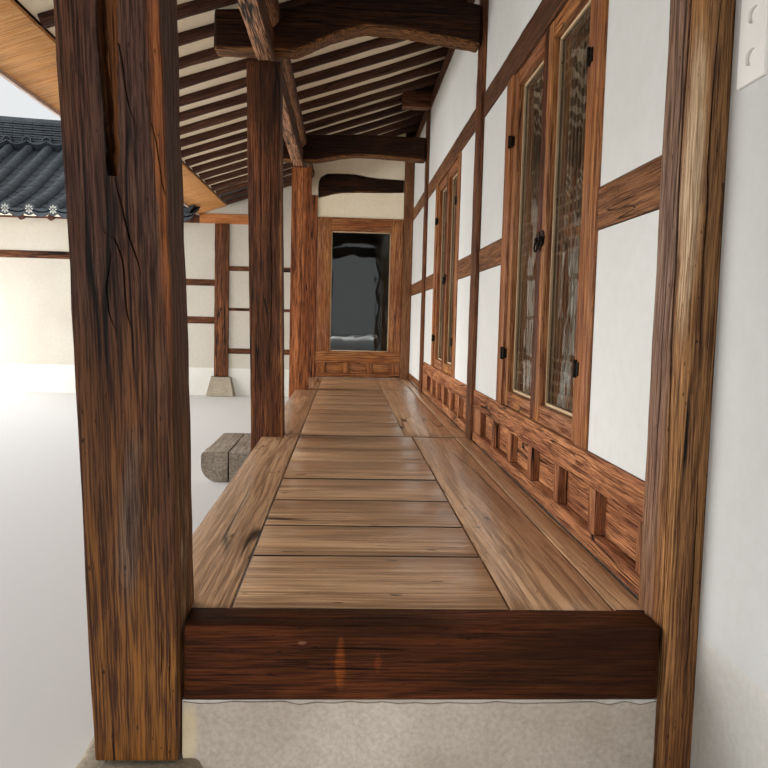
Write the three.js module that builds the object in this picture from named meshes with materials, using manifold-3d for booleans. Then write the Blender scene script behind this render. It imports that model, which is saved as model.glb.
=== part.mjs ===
// An L-shaped hanok: a tiled timber house with an open veranda along its front and a lower wing.
// Millimetres, +Z up. X runs along the main house, and the courtyard lies on the -Y side.
import * as THREE from "three";
import { mergeVertices } from "three/addons/utils/BufferGeometryUtils.js";
import Module from "manifold-3d";

const wasm = await Module();
wasm.setup();

// Driving dimensions. Heights are above the ground, and x = 0 is the near veranda post.
const GAP = 0.3; // clearance between pieces that are fitted to each other
const FLOOR = 400; // top of the veranda boards and of the room floors
const POST = 205; // side of a squared post
const STONE_TOP = 68; // top of the footing stones under the veranda posts
const STONE = { top: 290, bottom: 350 };
const LEAN_A = [[FLOOR + 10, 15, 0], [1150, 46, 19], [1900, 85, 48]]; // height, outer face, inner face
const LEAN_B = [[FLOOR + 10, 0, 0], [2600, 50, 43]];
const WING_STONE = { top: 285, bottom: 415, height: 280 };

// Frames of the main house along x, seen from the near end.
const X_NEAR_END = 3030;
const X_A = 0;
const X_B = -3057;
const X_C = -6328;
const X_FAR_WALL = -8018; // veranda face of the wall that closes the far end
const X_WING_FRONT = -9400;
const X_FAR_END = -12400;

// Lines of the house along y.
const Y_VERANDA = -483; // outer posts
const Y_WALL_POST = 909.5; // posts of the room wall
const Y_WALL = 836; // plaster face of the room wall
const Y_NEAR_WALL = 885; // plaster face of the near bay
const Y_RIDGE = 2312;
const Y_BACK = 3712;
const WALL = 120; // thickness of an outer wall
const INFILL = 100; // thickness of the plaster between the veranda posts

// Wing posts along y.
const Y_WING_POST = -1780;
const Y_WING_END = -5620;

// Veranda floor.
const DECK_FRONT = -516;
const DECK_BACK = 826;
const BOARD = 45;
const EDGE_BEAM = { width: 120, depth: 170 };
const SILL = { near: 80, far: -45, bottom: 210 };
const BASE_WALL = { near: 65, far: -30 };

// Timber in the room wall.
const TIMBER_FACE = Y_WALL - 10;
const RAIL_BACK = TIMBER_FACE + 60;
const JAMB_BACK = TIMBER_FACE + 120;
const DADO_TOP = 724;
const DADO_RECESS = { bottom: 462, top: 612, depth: 24, width: 360, pitch: 433 };
const MID_RAIL = { bottom: 1465, top: 1609 };
const HEAD_RAIL = { bottom: 2412, top: 2567 };
const WINDOW = { width: 1300, jamb: 140, stile: 72, bottomRail: 76, leaf: 42 };
const X_WINDOW_1 = -802; // near edge of the first window's opening
const X_WINDOW_2 = -4032;

// Purlins, rafters and roof.
const PURLIN_Y = -520;
const JANGYEO = { bottom: 2703, height: 170, width: 108 };
const PURLIN_R = 97;
const WALL_PURLIN = { bottom: 3330, width: 150 };
const BEAM_END = { width: 140, nose: 540, bottom: 3352, top: 3520 }; // inner beams over the wall posts
const RAFTER_R = 57.5;
const RAFTER_PITCH = 385;
const FIRST_RAFTER_X = 3625; // chosen so that no rafter meets a cross wall
const FIRST_WING_RAFTER_Y = -6195;
const RAFTER_SIDES = 8;
const RAFTER_END = -1700;
const EAVE_SLOPE = 0.33;
const RAFTER_SEAT = 3063; // underside of the rafters over the outer purlin
const UPPER_SLOPE = 0.58;
const BACK_SLOPE = 0.38;
const EAVE_FRONT = -2120;
const EAVE_BACK = 4912;
const GABLE_REACH = 900;
const TILE_REACH = 30; // the tiles reach this far past the boards of both eaves
const MAIN_BED = { eave: 150, purlin: 195, wall: 270, ridge: 330, back: 250 }; // height over the rafters
const WING_BED = { eave: 140, wall: 190, ridge: 290 };
const SOFFIT = { rise: 45, thickness: 24, fascia: 28 };

const WING_SEAT = 2640; // underside of the wing's rafters over its wall
const WING_RAFTER_R = 50;
const WING_EAVE_SLOPE = 0.37;
const WING_UPPER_SLOPE = 0.52;
const WING_REACH = 900;
const WING_PURLIN = { bottom: 2460, width: 150 };

const materials = {
  darkTimber: new THREE.MeshStandardMaterial({ color: 0x4a2a17, roughness: 0.62, metalness: 0 }),
  warmTimber: new THREE.MeshStandardMaterial({ color: 0x6d4023, roughness: 0.5, metalness: 0 }),
  floorTimber: new THREE.MeshStandardMaterial({ color: 0x6b4a30, roughness: 0.38, metalness: 0 }),
  paleTimber: new THREE.MeshStandardMaterial({ color: 0xd0a468, roughness: 0.6, metalness: 0 }),
  greyTimber: new THREE.MeshStandardMaterial({ color: 0x77706a, roughness: 0.85, metalness: 0 }),
  plaster: new THREE.MeshStandardMaterial({ color: 0xe7e4dc, roughness: 0.92, metalness: 0 }),
  render: new THREE.MeshStandardMaterial({ color: 0xcfc3a8, roughness: 0.95, metalness: 0 }),
  stone: new THREE.MeshStandardMaterial({ color: 0xa8a49a, roughness: 0.9, metalness: 0 }),
  tile: new THREE.MeshStandardMaterial({ color: 0x2f3438, roughness: 0.7, metalness: 0 }),
  glass: new THREE.MeshStandardMaterial({
    color: 0x9fb0b4,
    roughness: 0.08,
    metalness: 0,
    transparent: true,
    opacity: 0.35,
  }),
};

// Turns a closed three.js geometry into a solid that can be joined and cut.
function solid(geometry) {
  const bare = geometry.clone();
  bare.deleteAttribute("normal");
  bare.deleteAttribute("uv");
  const merged = mergeVertices(bare, 1e-4);
  return new wasm.Manifold(
    new wasm.Mesh({
      numProp: 3,
      vertProperties: new Float32Array(merged.attributes.position.array),
      triVerts: new Uint32Array(merged.index.array),
    }),
  );
}

// A block between two opposite corners.
function block(x0, x1, y0, y1, z0, z1) {
  const [w, d, h] = [Math.abs(x1 - x0), Math.abs(y1 - y0), z1 - z0];
  const geometry = new THREE.BoxGeometry(w, d, h);
  geometry.translate((x0 + x1) / 2, (y0 + y1) / 2, (z0 + z1) / 2);
  return solid(geometry);
}

// A straight prism: an outline of [a, b] points pushed out by depth, then laid on the given axes.
function prism(outline, depth, basis, offset, bevel = 0) {
  const shape = new THREE.Shape(outline.map(([a, b]) => new THREE.Vector2(a, b)));
  const geometry = new THREE.ExtrudeGeometry(shape, {
    depth,
    bevelEnabled: bevel > 0,
    bevelThickness: bevel,
    bevelSize: bevel,
    bevelOffset: -bevel,
    bevelSegments: 1,
  });
  geometry.applyMatrix4(new THREE.Matrix4().makeBasis(...basis).setPosition(...offset));
  return solid(geometry);
}

const X = new THREE.Vector3(1, 0, 0);
const Y = new THREE.Vector3(0, 1, 0);
const Z = new THREE.Vector3(0, 0, 1);
const MINUS_Y = new THREE.Vector3(0, -1, 0);

// Outlines in the (y, z) plane run along x, those in (x, z) along y, and plans rise along z.
const alongX = (outline, x0, x1, bevel) =>
  prism(outline, x1 - x0 - 2 * (bevel ?? 0), [Y, Z, X], [x0 + (bevel ?? 0), 0, 0], bevel);
const alongY = (outline, y0, y1) => prism(outline, y1 - y0, [X, Z, MINUS_Y], [0, y1, 0]);
const upwards = (outline, z0, z1) => prism(outline, z1 - z0, [X, Y, Z], [0, 0, z0]);

// A round log from one point to another, with a corner of its section on top.
function log(from, to, radius, sides) {
  const [a, b] = [new THREE.Vector3(...from), new THREE.Vector3(...to)];
  const direction = b.clone().sub(a);
  const geometry = new THREE.CylinderGeometry(radius, radius, direction.length(), sides);
  geometry.applyQuaternion(new THREE.Quaternion().setFromUnitVectors(Y, direction.normalize()));
  geometry.translate(...a.add(b).multiplyScalar(0.5).toArray());
  return solid(geometry);
}

// A closed solid between rings of points that follow each other.
function loft(rings) {
  const count = rings[0].length;
  const last = (rings.length - 1) * count;
  const faces = [];
  for (let start = 0; start < last; start += count) {
    for (let i = 0; i < count; i += 1) {
      const [a, b] = [start + i, start + ((i + 1) % count)];
      faces.push(a, b, b + count, a, b + count, a + count);
    }
  }
  for (let i = 1; i + 1 < count; i += 1) faces.push(0, i + 1, i, last, last + i, last + i + 1);
  const geometry = new THREE.BufferGeometry();
  geometry.setAttribute("position", new THREE.Float32BufferAttribute(rings.flat(2), 3));
  geometry.setIndex(faces);
  return solid(geometry);
}

const join = (pieces) => pieces.reduce((a, b) => a.add(b));
const cut = (body, tools) => tools.reduce((a, b) => a.subtract(b), body);

const house = new THREE.Group();

// Adds a finished solid to the house as a named mesh.
function place(name, body, material) {
  const made = body.getMesh();
  const geometry = new THREE.BufferGeometry();
  geometry.setAttribute("position", new THREE.BufferAttribute(made.vertProperties, 3));
  geometry.setIndex(new THREE.BufferAttribute(made.triVerts, 1));
  geometry.computeVertexNormals();
  const mesh = new THREE.Mesh(geometry, materials[material].clone());
  mesh.name = name;
  house.add(mesh);
}

// A squared post, grown by a clearance when it cuts its neighbours. Its lean lists heights with the
// distances by which its outer and its inner face stand further out there.
function postBlock({ x, y, bottom, top, lean = [] }, grow = 0) {
  const half = POST / 2 + grow;
  const ring = (z, outer, inner) => [
    [x - half, y - half - outer, z],
    [x + half, y - half - outer, z],
    [x + half, y + half - inner, z],
    [x - half, y + half - inner, z],
  ];
  const [outer, inner] = lean.length ? lean[lean.length - 1].slice(1) : [0, 0];
  return loft([
    ring(bottom - grow, 0, 0),
    ...lean.map((heights) => ring(...heights)),
    ring(top + grow, outer, inner),
  ]);
}

// Posts
const FAR_POST_X = X_FAR_WALL + 10 - POST / 2;
const FAR_INNER_Y = 816.5;
const wallPostTop = WALL_PURLIN.bottom;
const posts = {
  post_e: { x: X_NEAR_END, y: Y_VERANDA, bottom: STONE_TOP, top: JANGYEO.bottom },
  post_a: { x: X_A, y: Y_VERANDA, bottom: STONE_TOP, top: JANGYEO.bottom, lean: LEAN_A },
  post_b: { x: X_B, y: Y_VERANDA, bottom: STONE_TOP, top: JANGYEO.bottom, lean: LEAN_B },
  post_c: { x: X_C, y: Y_VERANDA, bottom: STONE_TOP, top: JANGYEO.bottom },
  post_d: { x: FAR_POST_X, y: Y_VERANDA, bottom: 0, top: JANGYEO.bottom },
  wall_post_e: { x: X_NEAR_END, y: Y_WALL_POST, bottom: 0, top: wallPostTop },
  wall_post_a: { x: X_A, y: Y_WALL_POST, bottom: 0, top: wallPostTop },
  wall_post_b: { x: X_B, y: Y_WALL_POST, bottom: 0, top: wallPostTop },
  wall_post_c: { x: X_C, y: Y_WALL_POST, bottom: 0, top: wallPostTop },
  back_post_near: { x: X_NEAR_END, y: Y_BACK, bottom: 0, top: wallPostTop },
  back_post_far: { x: X_FAR_END, y: Y_BACK, bottom: 0, top: wallPostTop },
  wing_post_1: { x: X_WING_FRONT, y: Y_WING_POST, bottom: WING_STONE.height, top: WING_PURLIN.bottom },
  wing_post_2: { x: X_WING_FRONT, y: Y_WING_END, bottom: 0, top: WING_PURLIN.bottom },
  wing_post_3: { x: X_FAR_END, y: Y_WING_END, bottom: 0, top: WING_PURLIN.bottom },
};
for (const [name, post] of Object.entries(posts)) place(name, postBlock(post), "darkTimber");
const farInnerPost = { x: FAR_POST_X, y: FAR_INNER_Y, bottom: 0, top: wallPostTop };
const postCuts = [...Object.values(posts), farInnerPost].map((post) => postBlock(post, GAP));

// A footing stone with four sloping sides.
function footing(x, y, topSide, bottomSide, height) {
  const corner = Math.SQRT1_2;
  const geometry = new THREE.CylinderGeometry(topSide * corner, bottomSide * corner, height, 4);
  geometry.rotateY(Math.PI / 4);
  geometry.rotateX(Math.PI / 2);
  geometry.translate(x, y, height / 2);
  return solid(geometry);
}
for (const letter of ["e", "a", "b", "c"]) {
  const { x, y } = posts["post_" + letter];
  place("stone_" + letter, footing(x, y, STONE.top, STONE.bottom, STONE_TOP), "stone");
}
const wingStone = footing(X_WING_FRONT, Y_WING_POST, WING_STONE.top, WING_STONE.bottom, WING_STONE.height);
place("wing_stone", wingStone, "stone");
// The same stone grown by a clearance, to cut the masonry beside it.
const footingCut = (x, y, topSide, bottomSide, height) =>
  footing(x, y, topSide + 4 * GAP, bottomSide + 4 * GAP, height + GAP).add(
    block(x - bottomSide / 2, x + bottomSide / 2, y - bottomSide / 2, y + bottomSide / 2, -1, GAP),
  );
const stoneCuts = [
  footingCut(X_A, Y_VERANDA, STONE.top, STONE.bottom, STONE_TOP),
  footingCut(X_WING_FRONT, Y_WING_POST, WING_STONE.top, WING_STONE.bottom, WING_STONE.height),
];

const EAVE_EDGE = EAVE_FRONT - TILE_REACH;
const BACK_EDGE = EAVE_BACK + TILE_REACH;

// Line of the rafters' upper side, which is the underside of the roof, at a given y.
const eaveLean = Math.cos(Math.atan(EAVE_SLOPE));
const rafterAxis = (y) => RAFTER_SEAT + RAFTER_R / eaveLean + EAVE_SLOPE * (y - PURLIN_Y);
const roofOverWall = rafterAxis(Y_WALL_POST) + RAFTER_R / eaveLean + GAP;
const roofUnderside = (y) => {
  if (y <= Y_WALL_POST) return roofOverWall + EAVE_SLOPE * (y - Y_WALL_POST);
  if (y <= Y_RIDGE) return roofOverWall + UPPER_SLOPE * (y - Y_WALL_POST);
  const ridge = roofOverWall + UPPER_SLOPE * (Y_RIDGE - Y_WALL_POST);
  if (y <= Y_BACK) return ridge - UPPER_SLOPE * (y - Y_RIDGE);
  return ridge - UPPER_SLOPE * (Y_BACK - Y_RIDGE) - BACK_SLOPE * (y - Y_BACK);
};
const wingLean = Math.cos(Math.atan(WING_EAVE_SLOPE));
const wingCentre = (X_WING_FRONT + X_FAR_END) / 2;
const wingHalf = (X_WING_FRONT - X_FAR_END) / 2;
const wingOverWall = WING_SEAT + (2 * WING_RAFTER_R) / wingLean + GAP;
const wingUnderside = (x) => {
  const inwards = wingHalf - Math.abs(x - wingCentre);
  return wingOverWall + (inwards > 0 ? WING_UPPER_SLOPE : WING_EAVE_SLOPE) * inwards;
};

// Roofs: a curved bed of earth and pan tiles over the rafters, thicker towards the ridge, with rows of
// cover tiles down its slopes. The top lines follow the tops of the rows.
const TILE = { pitch: 300, depth: 70, crown: 40, base: 190, sunk: 5 };
const curve = (points, count) =>
  new THREE.SplineCurve(points.map(([a, b]) => new THREE.Vector2(a, b)))
    .getPoints(count)
    .map((p) => [p.x, p.y]);
const lowered = (line, drop) => line.map(([a, z]) => [a, z - drop]);
const mainTop = [
  ...curve(
    [
      [EAVE_EDGE, roofUnderside(EAVE_EDGE) + MAIN_BED.eave],
      [PURLIN_Y, roofUnderside(PURLIN_Y) + MAIN_BED.purlin],
      [Y_WALL_POST, roofUnderside(Y_WALL_POST) + MAIN_BED.wall],
      [Y_RIDGE, roofUnderside(Y_RIDGE) + MAIN_BED.ridge],
    ],
    9,
  ),
  ...curve(
    [
      [Y_RIDGE, roofUnderside(Y_RIDGE) + MAIN_BED.ridge],
      [Y_BACK, roofUnderside(Y_BACK) + MAIN_BED.back],
      [BACK_EDGE, roofUnderside(BACK_EDGE) + MAIN_BED.eave],
    ],
    6,
  ).slice(1),
];
const mainLines = [BACK_EDGE, Y_BACK, Y_RIDGE, Y_WALL_POST, EAVE_EDGE];
const mainUnder = mainLines.map((y) => [y, roofUnderside(y)]);
const ROOF_X0 = X_FAR_END - GABLE_REACH;
const ROOF_X1 = X_NEAR_END + GABLE_REACH;
const counterClockwise = (outline) =>
  THREE.ShapeUtils.isClockWise(outline.map(([a, b]) => new THREE.Vector2(a, b)))
    ? [...outline].reverse()
    : outline;
// All that lies under the main roof's top line, once that is lowered, with a clearance.
const underMain = (drop) =>
  alongX(
    counterClockwise([
      ...lowered(mainTop, drop - GAP),
      [BACK_EDGE, 0],
      [EAVE_EDGE - GAP, 0],
      [EAVE_EDGE - GAP, mainTop[0][1] - drop + GAP],
    ]),
    ROOF_X0,
    ROOF_X1,
  );

const wingEdge = wingHalf + WING_REACH;
const wingTopHalf = curve(
  [
    [wingEdge, wingUnderside(wingCentre + wingEdge) + WING_BED.eave],
    [wingHalf, wingUnderside(wingCentre + wingHalf) + WING_BED.wall],
    [0, wingUnderside(wingCentre) + WING_BED.ridge],
  ],
  6,
);
const wingTop = [
  ...wingTopHalf.map(([a, z]) => [wingCentre + a, z]),
  ...wingTopHalf.slice(0, -1).reverse().map(([a, z]) => [wingCentre - a, z]),
];
const wingUnder = [-wingEdge, -wingHalf, 0, wingHalf, wingEdge].map((a) => [
  wingCentre + a,
  wingUnderside(wingCentre + a),
]);
const WING_Y0 = Y_WING_END - WING_REACH;
const WING_Y1 = 900; // past the place where the wing's ridge meets the main roof
const wingBed = alongY(counterClockwise([...lowered(wingTop, TILE.depth), ...wingUnder]), WING_Y0, WING_Y1);

// Ridges of stacked tiles, a little higher at their ends, and the verges that run down the gables.
const RIDGE = { width: 240, height: 330, lift: 130, steps: 12, sunk: 160 };
const VERGE = { width: 210, height: 150, inset: 130 };
function ridgeOutline(a0, a1, base) {
  const middle = (a0 + a1) / 2;
  const half = (a1 - a0) / 2;
  const top = [];
  for (let i = 0; i <= RIDGE.steps; i += 1) {
    const a = a1 - ((a1 - a0) * i) / RIDGE.steps;
    top.push([a, base + RIDGE.height + RIDGE.lift * ((a - middle) / half) ** 2]);
  }
  return [[a0, base - RIDGE.sunk], [a1, base - RIDGE.sunk], ...top];
}
const vergeOutline = (line) =>
  counterClockwise([...lowered(line, -VERGE.height), ...lowered(line, TILE.depth + TILE.sunk).reverse()]);
const mainPeak = roofUnderside(Y_RIDGE) + MAIN_BED.ridge;
const mainRidge = join([
  alongY(ridgeOutline(ROOF_X0, ROOF_X1, mainPeak), Y_RIDGE - RIDGE.width / 2, Y_RIDGE + RIDGE.width / 2),
  alongX(vergeOutline(mainTop), ROOF_X0 + VERGE.inset, ROOF_X0 + VERGE.inset + VERGE.width),
  alongX(vergeOutline(mainTop), ROOF_X1 - VERGE.inset - VERGE.width, ROOF_X1 - VERGE.inset),
]);
const wingPeak = wingUnderside(wingCentre) + WING_BED.ridge;
const wingRidgeBlock = (grow) =>
  alongX(
    ridgeOutline(WING_Y0 - grow, WING_Y1 + grow, wingPeak + grow),
    wingCentre - RIDGE.width / 2 - grow,
    wingCentre + RIDGE.width / 2 + grow,
  );
const wingVerge = alongY(vergeOutline(wingTop), WING_Y0 + VERGE.inset, WING_Y0 + VERGE.inset + VERGE.width);

// A row of cover tiles, which lies along a roof's top line.
function tileRow(line, toPoint) {
  const section = [
    [-TILE.base / 2, TILE.depth + TILE.sunk],
    [-TILE.crown / 2, 0],
    [TILE.crown / 2, 0],
    [TILE.base / 2, TILE.depth + TILE.sunk],
  ];
  return loft(line.map(([a, z]) => section.map(([across, drop]) => toPoint(a, across, z - drop))));
}
const vergeMiddle = VERGE.inset + VERGE.width / 2;
const mainSpan = ROOF_X1 - ROOF_X0 - 2 * vergeMiddle;
const mainPitch = mainSpan / Math.round(mainSpan / TILE.pitch);
const mainRows = [];
for (let x = ROOF_X0 + vergeMiddle + mainPitch; x < ROOF_X1 - vergeMiddle - mainPitch / 2; x += mainPitch) {
  mainRows.push(tileRow(mainTop, (y, across, z) => [x + across, y, z]));
}
// The wing's rows are spaced so that the main eave comes midway between two of them.
const wingSpan = EAVE_EDGE - WING_Y0 - vergeMiddle;
const wingPitch = wingSpan / (Math.round(wingSpan / TILE.pitch - 0.5) + 0.5);
const wingRows = [];
for (let y = WING_Y0 + vergeMiddle + wingPitch; y < WING_Y1 - TILE.base; y += wingPitch) {
  wingRows.push(tileRow(wingTop, (x, across, z) => [x, y + across, z]));
}
const underWing = alongY(
  counterClockwise([...lowered(wingTop, -GAP), [wingCentre - wingEdge, 0], [wingCentre + wingEdge, 0]]),
  WING_Y0,
  WING_Y1,
);
const mainBed = alongX(counterClockwise([...lowered(mainTop, TILE.depth), ...mainUnder]), ROOF_X0, ROOF_X1);
const mainRowsKept = cut(join(mainRows), [underWing, wingRidgeBlock(GAP)]);
place("main_roof", join([mainBed, mainRidge, mainRowsKept]), "tile");
const wingSolid = join([
  wingBed.subtract(underMain(TILE.depth)),
  wingRidgeBlock(0).subtract(underMain(TILE.depth)),
  wingVerge,
  join(wingRows).subtract(underMain(0)),
]);
place("wing_roof", cut(wingSolid, [mainRidge, mainRidge.translate([0, 0, GAP])]), "tile");

// Cross beams between the veranda posts and the room wall: outlines in the (y, z) plane.
const BEAM = { width: 190, nose: -840, seat: 2763, top: 3040, bevel: 18 };
function beamOutline(crest, crownRise) {
  const inner = Y_WALL_POST - POST / 2 - GAP;
  const under = curve(
    [
      [inner, BEAM.seat + 85 * crest],
      [650, BEAM.seat + 109 * crest],
      [84, BEAM.seat + 164 * crest],
      [-316, BEAM.seat + 10 * crest],
      [-381, BEAM.seat],
    ],
    12,
  );
  const over = curve(
    [
      [-381, BEAM.top],
      [84, BEAM.top + crownRise],
      [inner, BEAM.top + crownRise * 0.6],
    ],
    8,
  );
  return counterClockwise([...under, [BEAM.nose, BEAM.seat], [BEAM.nose, BEAM.top - 30], ...over]);
}
const beams = {
  beam_e: [X_NEAR_END, 0.6, 60],
  beam_a: [X_A, 0.8, 70],
  beam_b: [X_B, 1, 110],
  beam_c: [X_C, 0.45, 25],
};
for (const [name, [x, crest, crownRise]] of Object.entries(beams)) {
  const outline = beamOutline(crest, crownRise);
  place(name, alongX(outline, x - BEAM.width / 2, x + BEAM.width / 2, BEAM.bevel), "darkTimber");
}
const beamCuts = Object.values(beams).map(([x, crest, crownRise]) => {
  const half = BEAM.width / 2 + GAP;
  const outline = beamOutline(crest, crownRise);
  const grown = alongX(outline, x - half, x + half);
  return join([grown, grown.translate([0, 0, GAP]), grown.translate([0, 0, -GAP])]);
});

// Front rafters with the purlins that carry them, and the ends of the inner beams between them.
const rafterXs = [];
const lastRafterX = X_WING_FRONT + WALL / 2 + RAFTER_R + 10;
for (let x = FIRST_RAFTER_X; x > lastRafterX; x -= RAFTER_PITCH) rafterXs.push(x);
const PURLIN_X1 = ROOF_X1 - 60;
const courtFace = X_WING_FRONT + WALL / 2;
const purlinAxis = RAFTER_SEAT + 15 - PURLIN_R;
const frontRafters = join([
  block(
    courtFace,
    PURLIN_X1,
    PURLIN_Y - JANGYEO.width / 2,
    PURLIN_Y + JANGYEO.width / 2,
    JANGYEO.bottom,
    purlinAxis,
  ),
  log([courtFace, PURLIN_Y, purlinAxis], [PURLIN_X1, PURLIN_Y, purlinAxis], PURLIN_R, 12),
  block(
    X_FAR_END - GABLE_REACH + 60,
    PURLIN_X1,
    Y_WALL,
    Y_WALL + WALL_PURLIN.width,
    WALL_PURLIN.bottom,
    rafterAxis(Y_WALL + WALL_PURLIN.width) - RAFTER_R,
  ),
  ...[X_NEAR_END, X_A, X_B, X_C].map((x) =>
    block(
      x - BEAM_END.width / 2,
      x + BEAM_END.width / 2,
      BEAM_END.nose,
      Y_WALL + WALL_PURLIN.width,
      BEAM_END.bottom,
      BEAM_END.top,
    ),
  ),
  ...rafterXs.map((x) => {
    const [y0, y1] = [RAFTER_END, Y_WALL_POST + 120];
    return log([x, y0, rafterAxis(y0)], [x, y1, rafterAxis(y1)], RAFTER_R, RAFTER_SIDES);
  }),
]);
const atticFront = PURLIN_Y - 3000;
const atticTop = [EAVE_BACK + 60, Y_BACK, Y_RIDGE, Y_WALL_POST, atticFront];
const atticBody = alongX(
  counterClockwise([
    [atticFront, 0],
    [EAVE_BACK + 60, 0],
    ...atticTop.map((y) => [y, roofUnderside(y) - GAP]),
  ]),
  ROOF_X0,
  ROOF_X1,
);
place("front_rafters", cut(frontRafters, beamCuts).intersect(atticBody), "darkTimber");

// Back rafters: the hidden side repeats the eave with its own purlin.
const BACK_RAFTER_R = 52;
const backLean = Math.cos(Math.atan(BACK_SLOPE));
const backAxis = (y) => roofUnderside(Y_BACK) - BACK_SLOPE * (y - Y_BACK) - GAP - BACK_RAFTER_R / backLean;
const backPurlin = block(
  ROOF_X0 + 60,
  PURLIN_X1,
  Y_BACK - WALL_PURLIN.width / 2,
  Y_BACK + WALL_PURLIN.width / 2,
  WALL_PURLIN.bottom,
  backAxis(Y_BACK) - BACK_RAFTER_R + 20,
);
const backRafterXs = [];
for (let x = FIRST_RAFTER_X; x > ROOF_X0 + 100; x -= RAFTER_PITCH) backRafterXs.push(x);
const backRafters = join([
  backPurlin,
  ...backRafterXs.map((x) => {
    const [y0, y1] = [Y_BACK - 90, EAVE_BACK - 60];
    return log([x, y0, backAxis(y0)], [x, y1, backAxis(y1)], BACK_RAFTER_R, 6);
  }),
]).intersect(atticBody);
place("back_rafters", backRafters, "darkTimber");

// Wing rafters: the courtyard slope carries the ridge beam, and the back slope butts against it.
const wingRafterEnd = wingHalf + WING_REACH - 50;
const wingAxis = (a) => WING_SEAT + WING_RAFTER_R / wingLean - WING_EAVE_SLOPE * (a - wingHalf);
const WING_ROOF_START = EAVE_FRONT - 40; // the wing's own eaves begin beside the main eave
const wingRafterYs = [];
for (let y = FIRST_WING_RAFTER_Y; y < WING_ROOF_START - 80; y += RAFTER_PITCH) wingRafterYs.push(y);
const wingPurlin = (a) =>
  block(
    wingCentre + a - WING_PURLIN.width / 2,
    wingCentre + a + WING_PURLIN.width / 2,
    WING_Y0 + 60,
    WING_ROOF_START,
    WING_PURLIN.bottom,
    WING_SEAT + 12,
  );
const upperAxis = (a) => wingUnderside(wingCentre + a) - GAP - 62;
const RIDGE_BEAM = { half: 70, bottom: upperAxis(0) - 190, top: upperAxis(0) - 20 };
const wingRidgeBeam = block(
  wingCentre - RIDGE_BEAM.half,
  wingCentre + RIDGE_BEAM.half,
  WING_Y0 + 60,
  WING_ROOF_START,
  RIDGE_BEAM.bottom,
  RIDGE_BEAM.top,
);
const ridgeBeamCut = block(
  wingCentre - RIDGE_BEAM.half - GAP,
  wingCentre + RIDGE_BEAM.half + GAP,
  WING_Y0,
  WING_ROOF_START,
  RIDGE_BEAM.bottom - GAP,
  RIDGE_BEAM.top + GAP,
);
const wingAtticTop = [wingEdge, wingHalf, 0, -wingHalf, -wingEdge].map((a) => wingCentre + a);
const wingAttic = alongY(
  counterClockwise([
    [wingCentre - wingEdge, 0],
    [wingCentre + wingEdge, 0],
    ...wingAtticTop.map((x) => [x, wingUnderside(x) - GAP]),
  ]),
  WING_Y0,
  WING_ROOF_START,
);
const wingSlope = (side) => {
  const rafter = (y, axis, from, to) => {
    const [start, end] = [from, to].map((a) => [wingCentre + side * a, y, axis(a)]);
    return log(start, end, WING_RAFTER_R, 6);
  };
  return join([
    wingPurlin(side * wingHalf),
    ...wingRafterYs.flatMap((y) => [
      rafter(y, wingAxis, wingRafterEnd, wingHalf - 90),
      rafter(y, upperAxis, wingHalf - 60, 0),
    ]),
  ]).intersect(wingAttic);
};
const halfWing = (x0, x1) => block(x0, x1, WING_Y0, WING_ROOF_START, 0, wingUnderside(wingCentre));
const courtSlope = wingSlope(1).intersect(halfWing(wingCentre, wingCentre + wingEdge));
const backSlope = wingSlope(-1).intersect(halfWing(wingCentre - wingEdge, wingCentre - GAP));
place("wing_rafters_court", courtSlope.add(wingRidgeBeam.intersect(wingAttic)), "darkTimber");
place("wing_rafters_back", backSlope.subtract(ridgeBeamCut), "darkTimber");

// Boarded soffit past the rafter ends, with its fascia.
const soffitUnder = (y) => RAFTER_SEAT + EAVE_SLOPE * (y - PURLIN_Y) + SOFFIT.rise;
const soffitStart = RAFTER_END - 25;
const soffit = alongX(
  counterClockwise([
    [EAVE_FRONT, soffitUnder(EAVE_FRONT) - 15],
    [EAVE_FRONT + SOFFIT.fascia, soffitUnder(EAVE_FRONT + SOFFIT.fascia) - 15],
    [EAVE_FRONT + SOFFIT.fascia, soffitUnder(EAVE_FRONT + SOFFIT.fascia)],
    [soffitStart, soffitUnder(soffitStart)],
    [soffitStart, soffitUnder(soffitStart) + SOFFIT.thickness],
    [EAVE_FRONT + SOFFIT.fascia, soffitUnder(EAVE_FRONT + SOFFIT.fascia) + SOFFIT.thickness],
    [EAVE_FRONT + SOFFIT.fascia, roofUnderside(EAVE_FRONT + SOFFIT.fascia) - GAP],
    [EAVE_FRONT, roofUnderside(EAVE_FRONT) - GAP],
  ]),
  courtFace + 15,
  ROOF_X1,
);
place("eave_soffit", soffit, "paleTimber");

// Room wall along the veranda: timber frames with window openings, plaster between.
function windowFrame(x0, x1, openingNear) {
  const openingFar = openingNear - WINDOW.width;
  const jambNear = openingNear + WINDOW.jamb;
  const jambFar = openingFar - WINDOW.jamb;
  const pieces = [
    block(x0, x1, TIMBER_FACE, JAMB_BACK - 20, FLOOR, DADO_TOP),
    block(x0, x1, TIMBER_FACE, RAIL_BACK, HEAD_RAIL.bottom, HEAD_RAIL.top),
    block(jambFar, jambNear, TIMBER_FACE, JAMB_BACK, HEAD_RAIL.bottom, HEAD_RAIL.bottom + 60),
    block(openingNear, jambNear, TIMBER_FACE, JAMB_BACK, DADO_TOP - 1, HEAD_RAIL.bottom + 1),
    block(jambFar, openingFar, TIMBER_FACE, JAMB_BACK, DADO_TOP - 1, HEAD_RAIL.bottom + 1),
    block(jambNear - 1, x1, TIMBER_FACE, RAIL_BACK, MID_RAIL.bottom, MID_RAIL.top),
    block(x0, jambFar + 1, TIMBER_FACE, RAIL_BACK, MID_RAIL.bottom, MID_RAIL.top),
  ];
  return { pieces, jambNear, jambFar };
}
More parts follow.
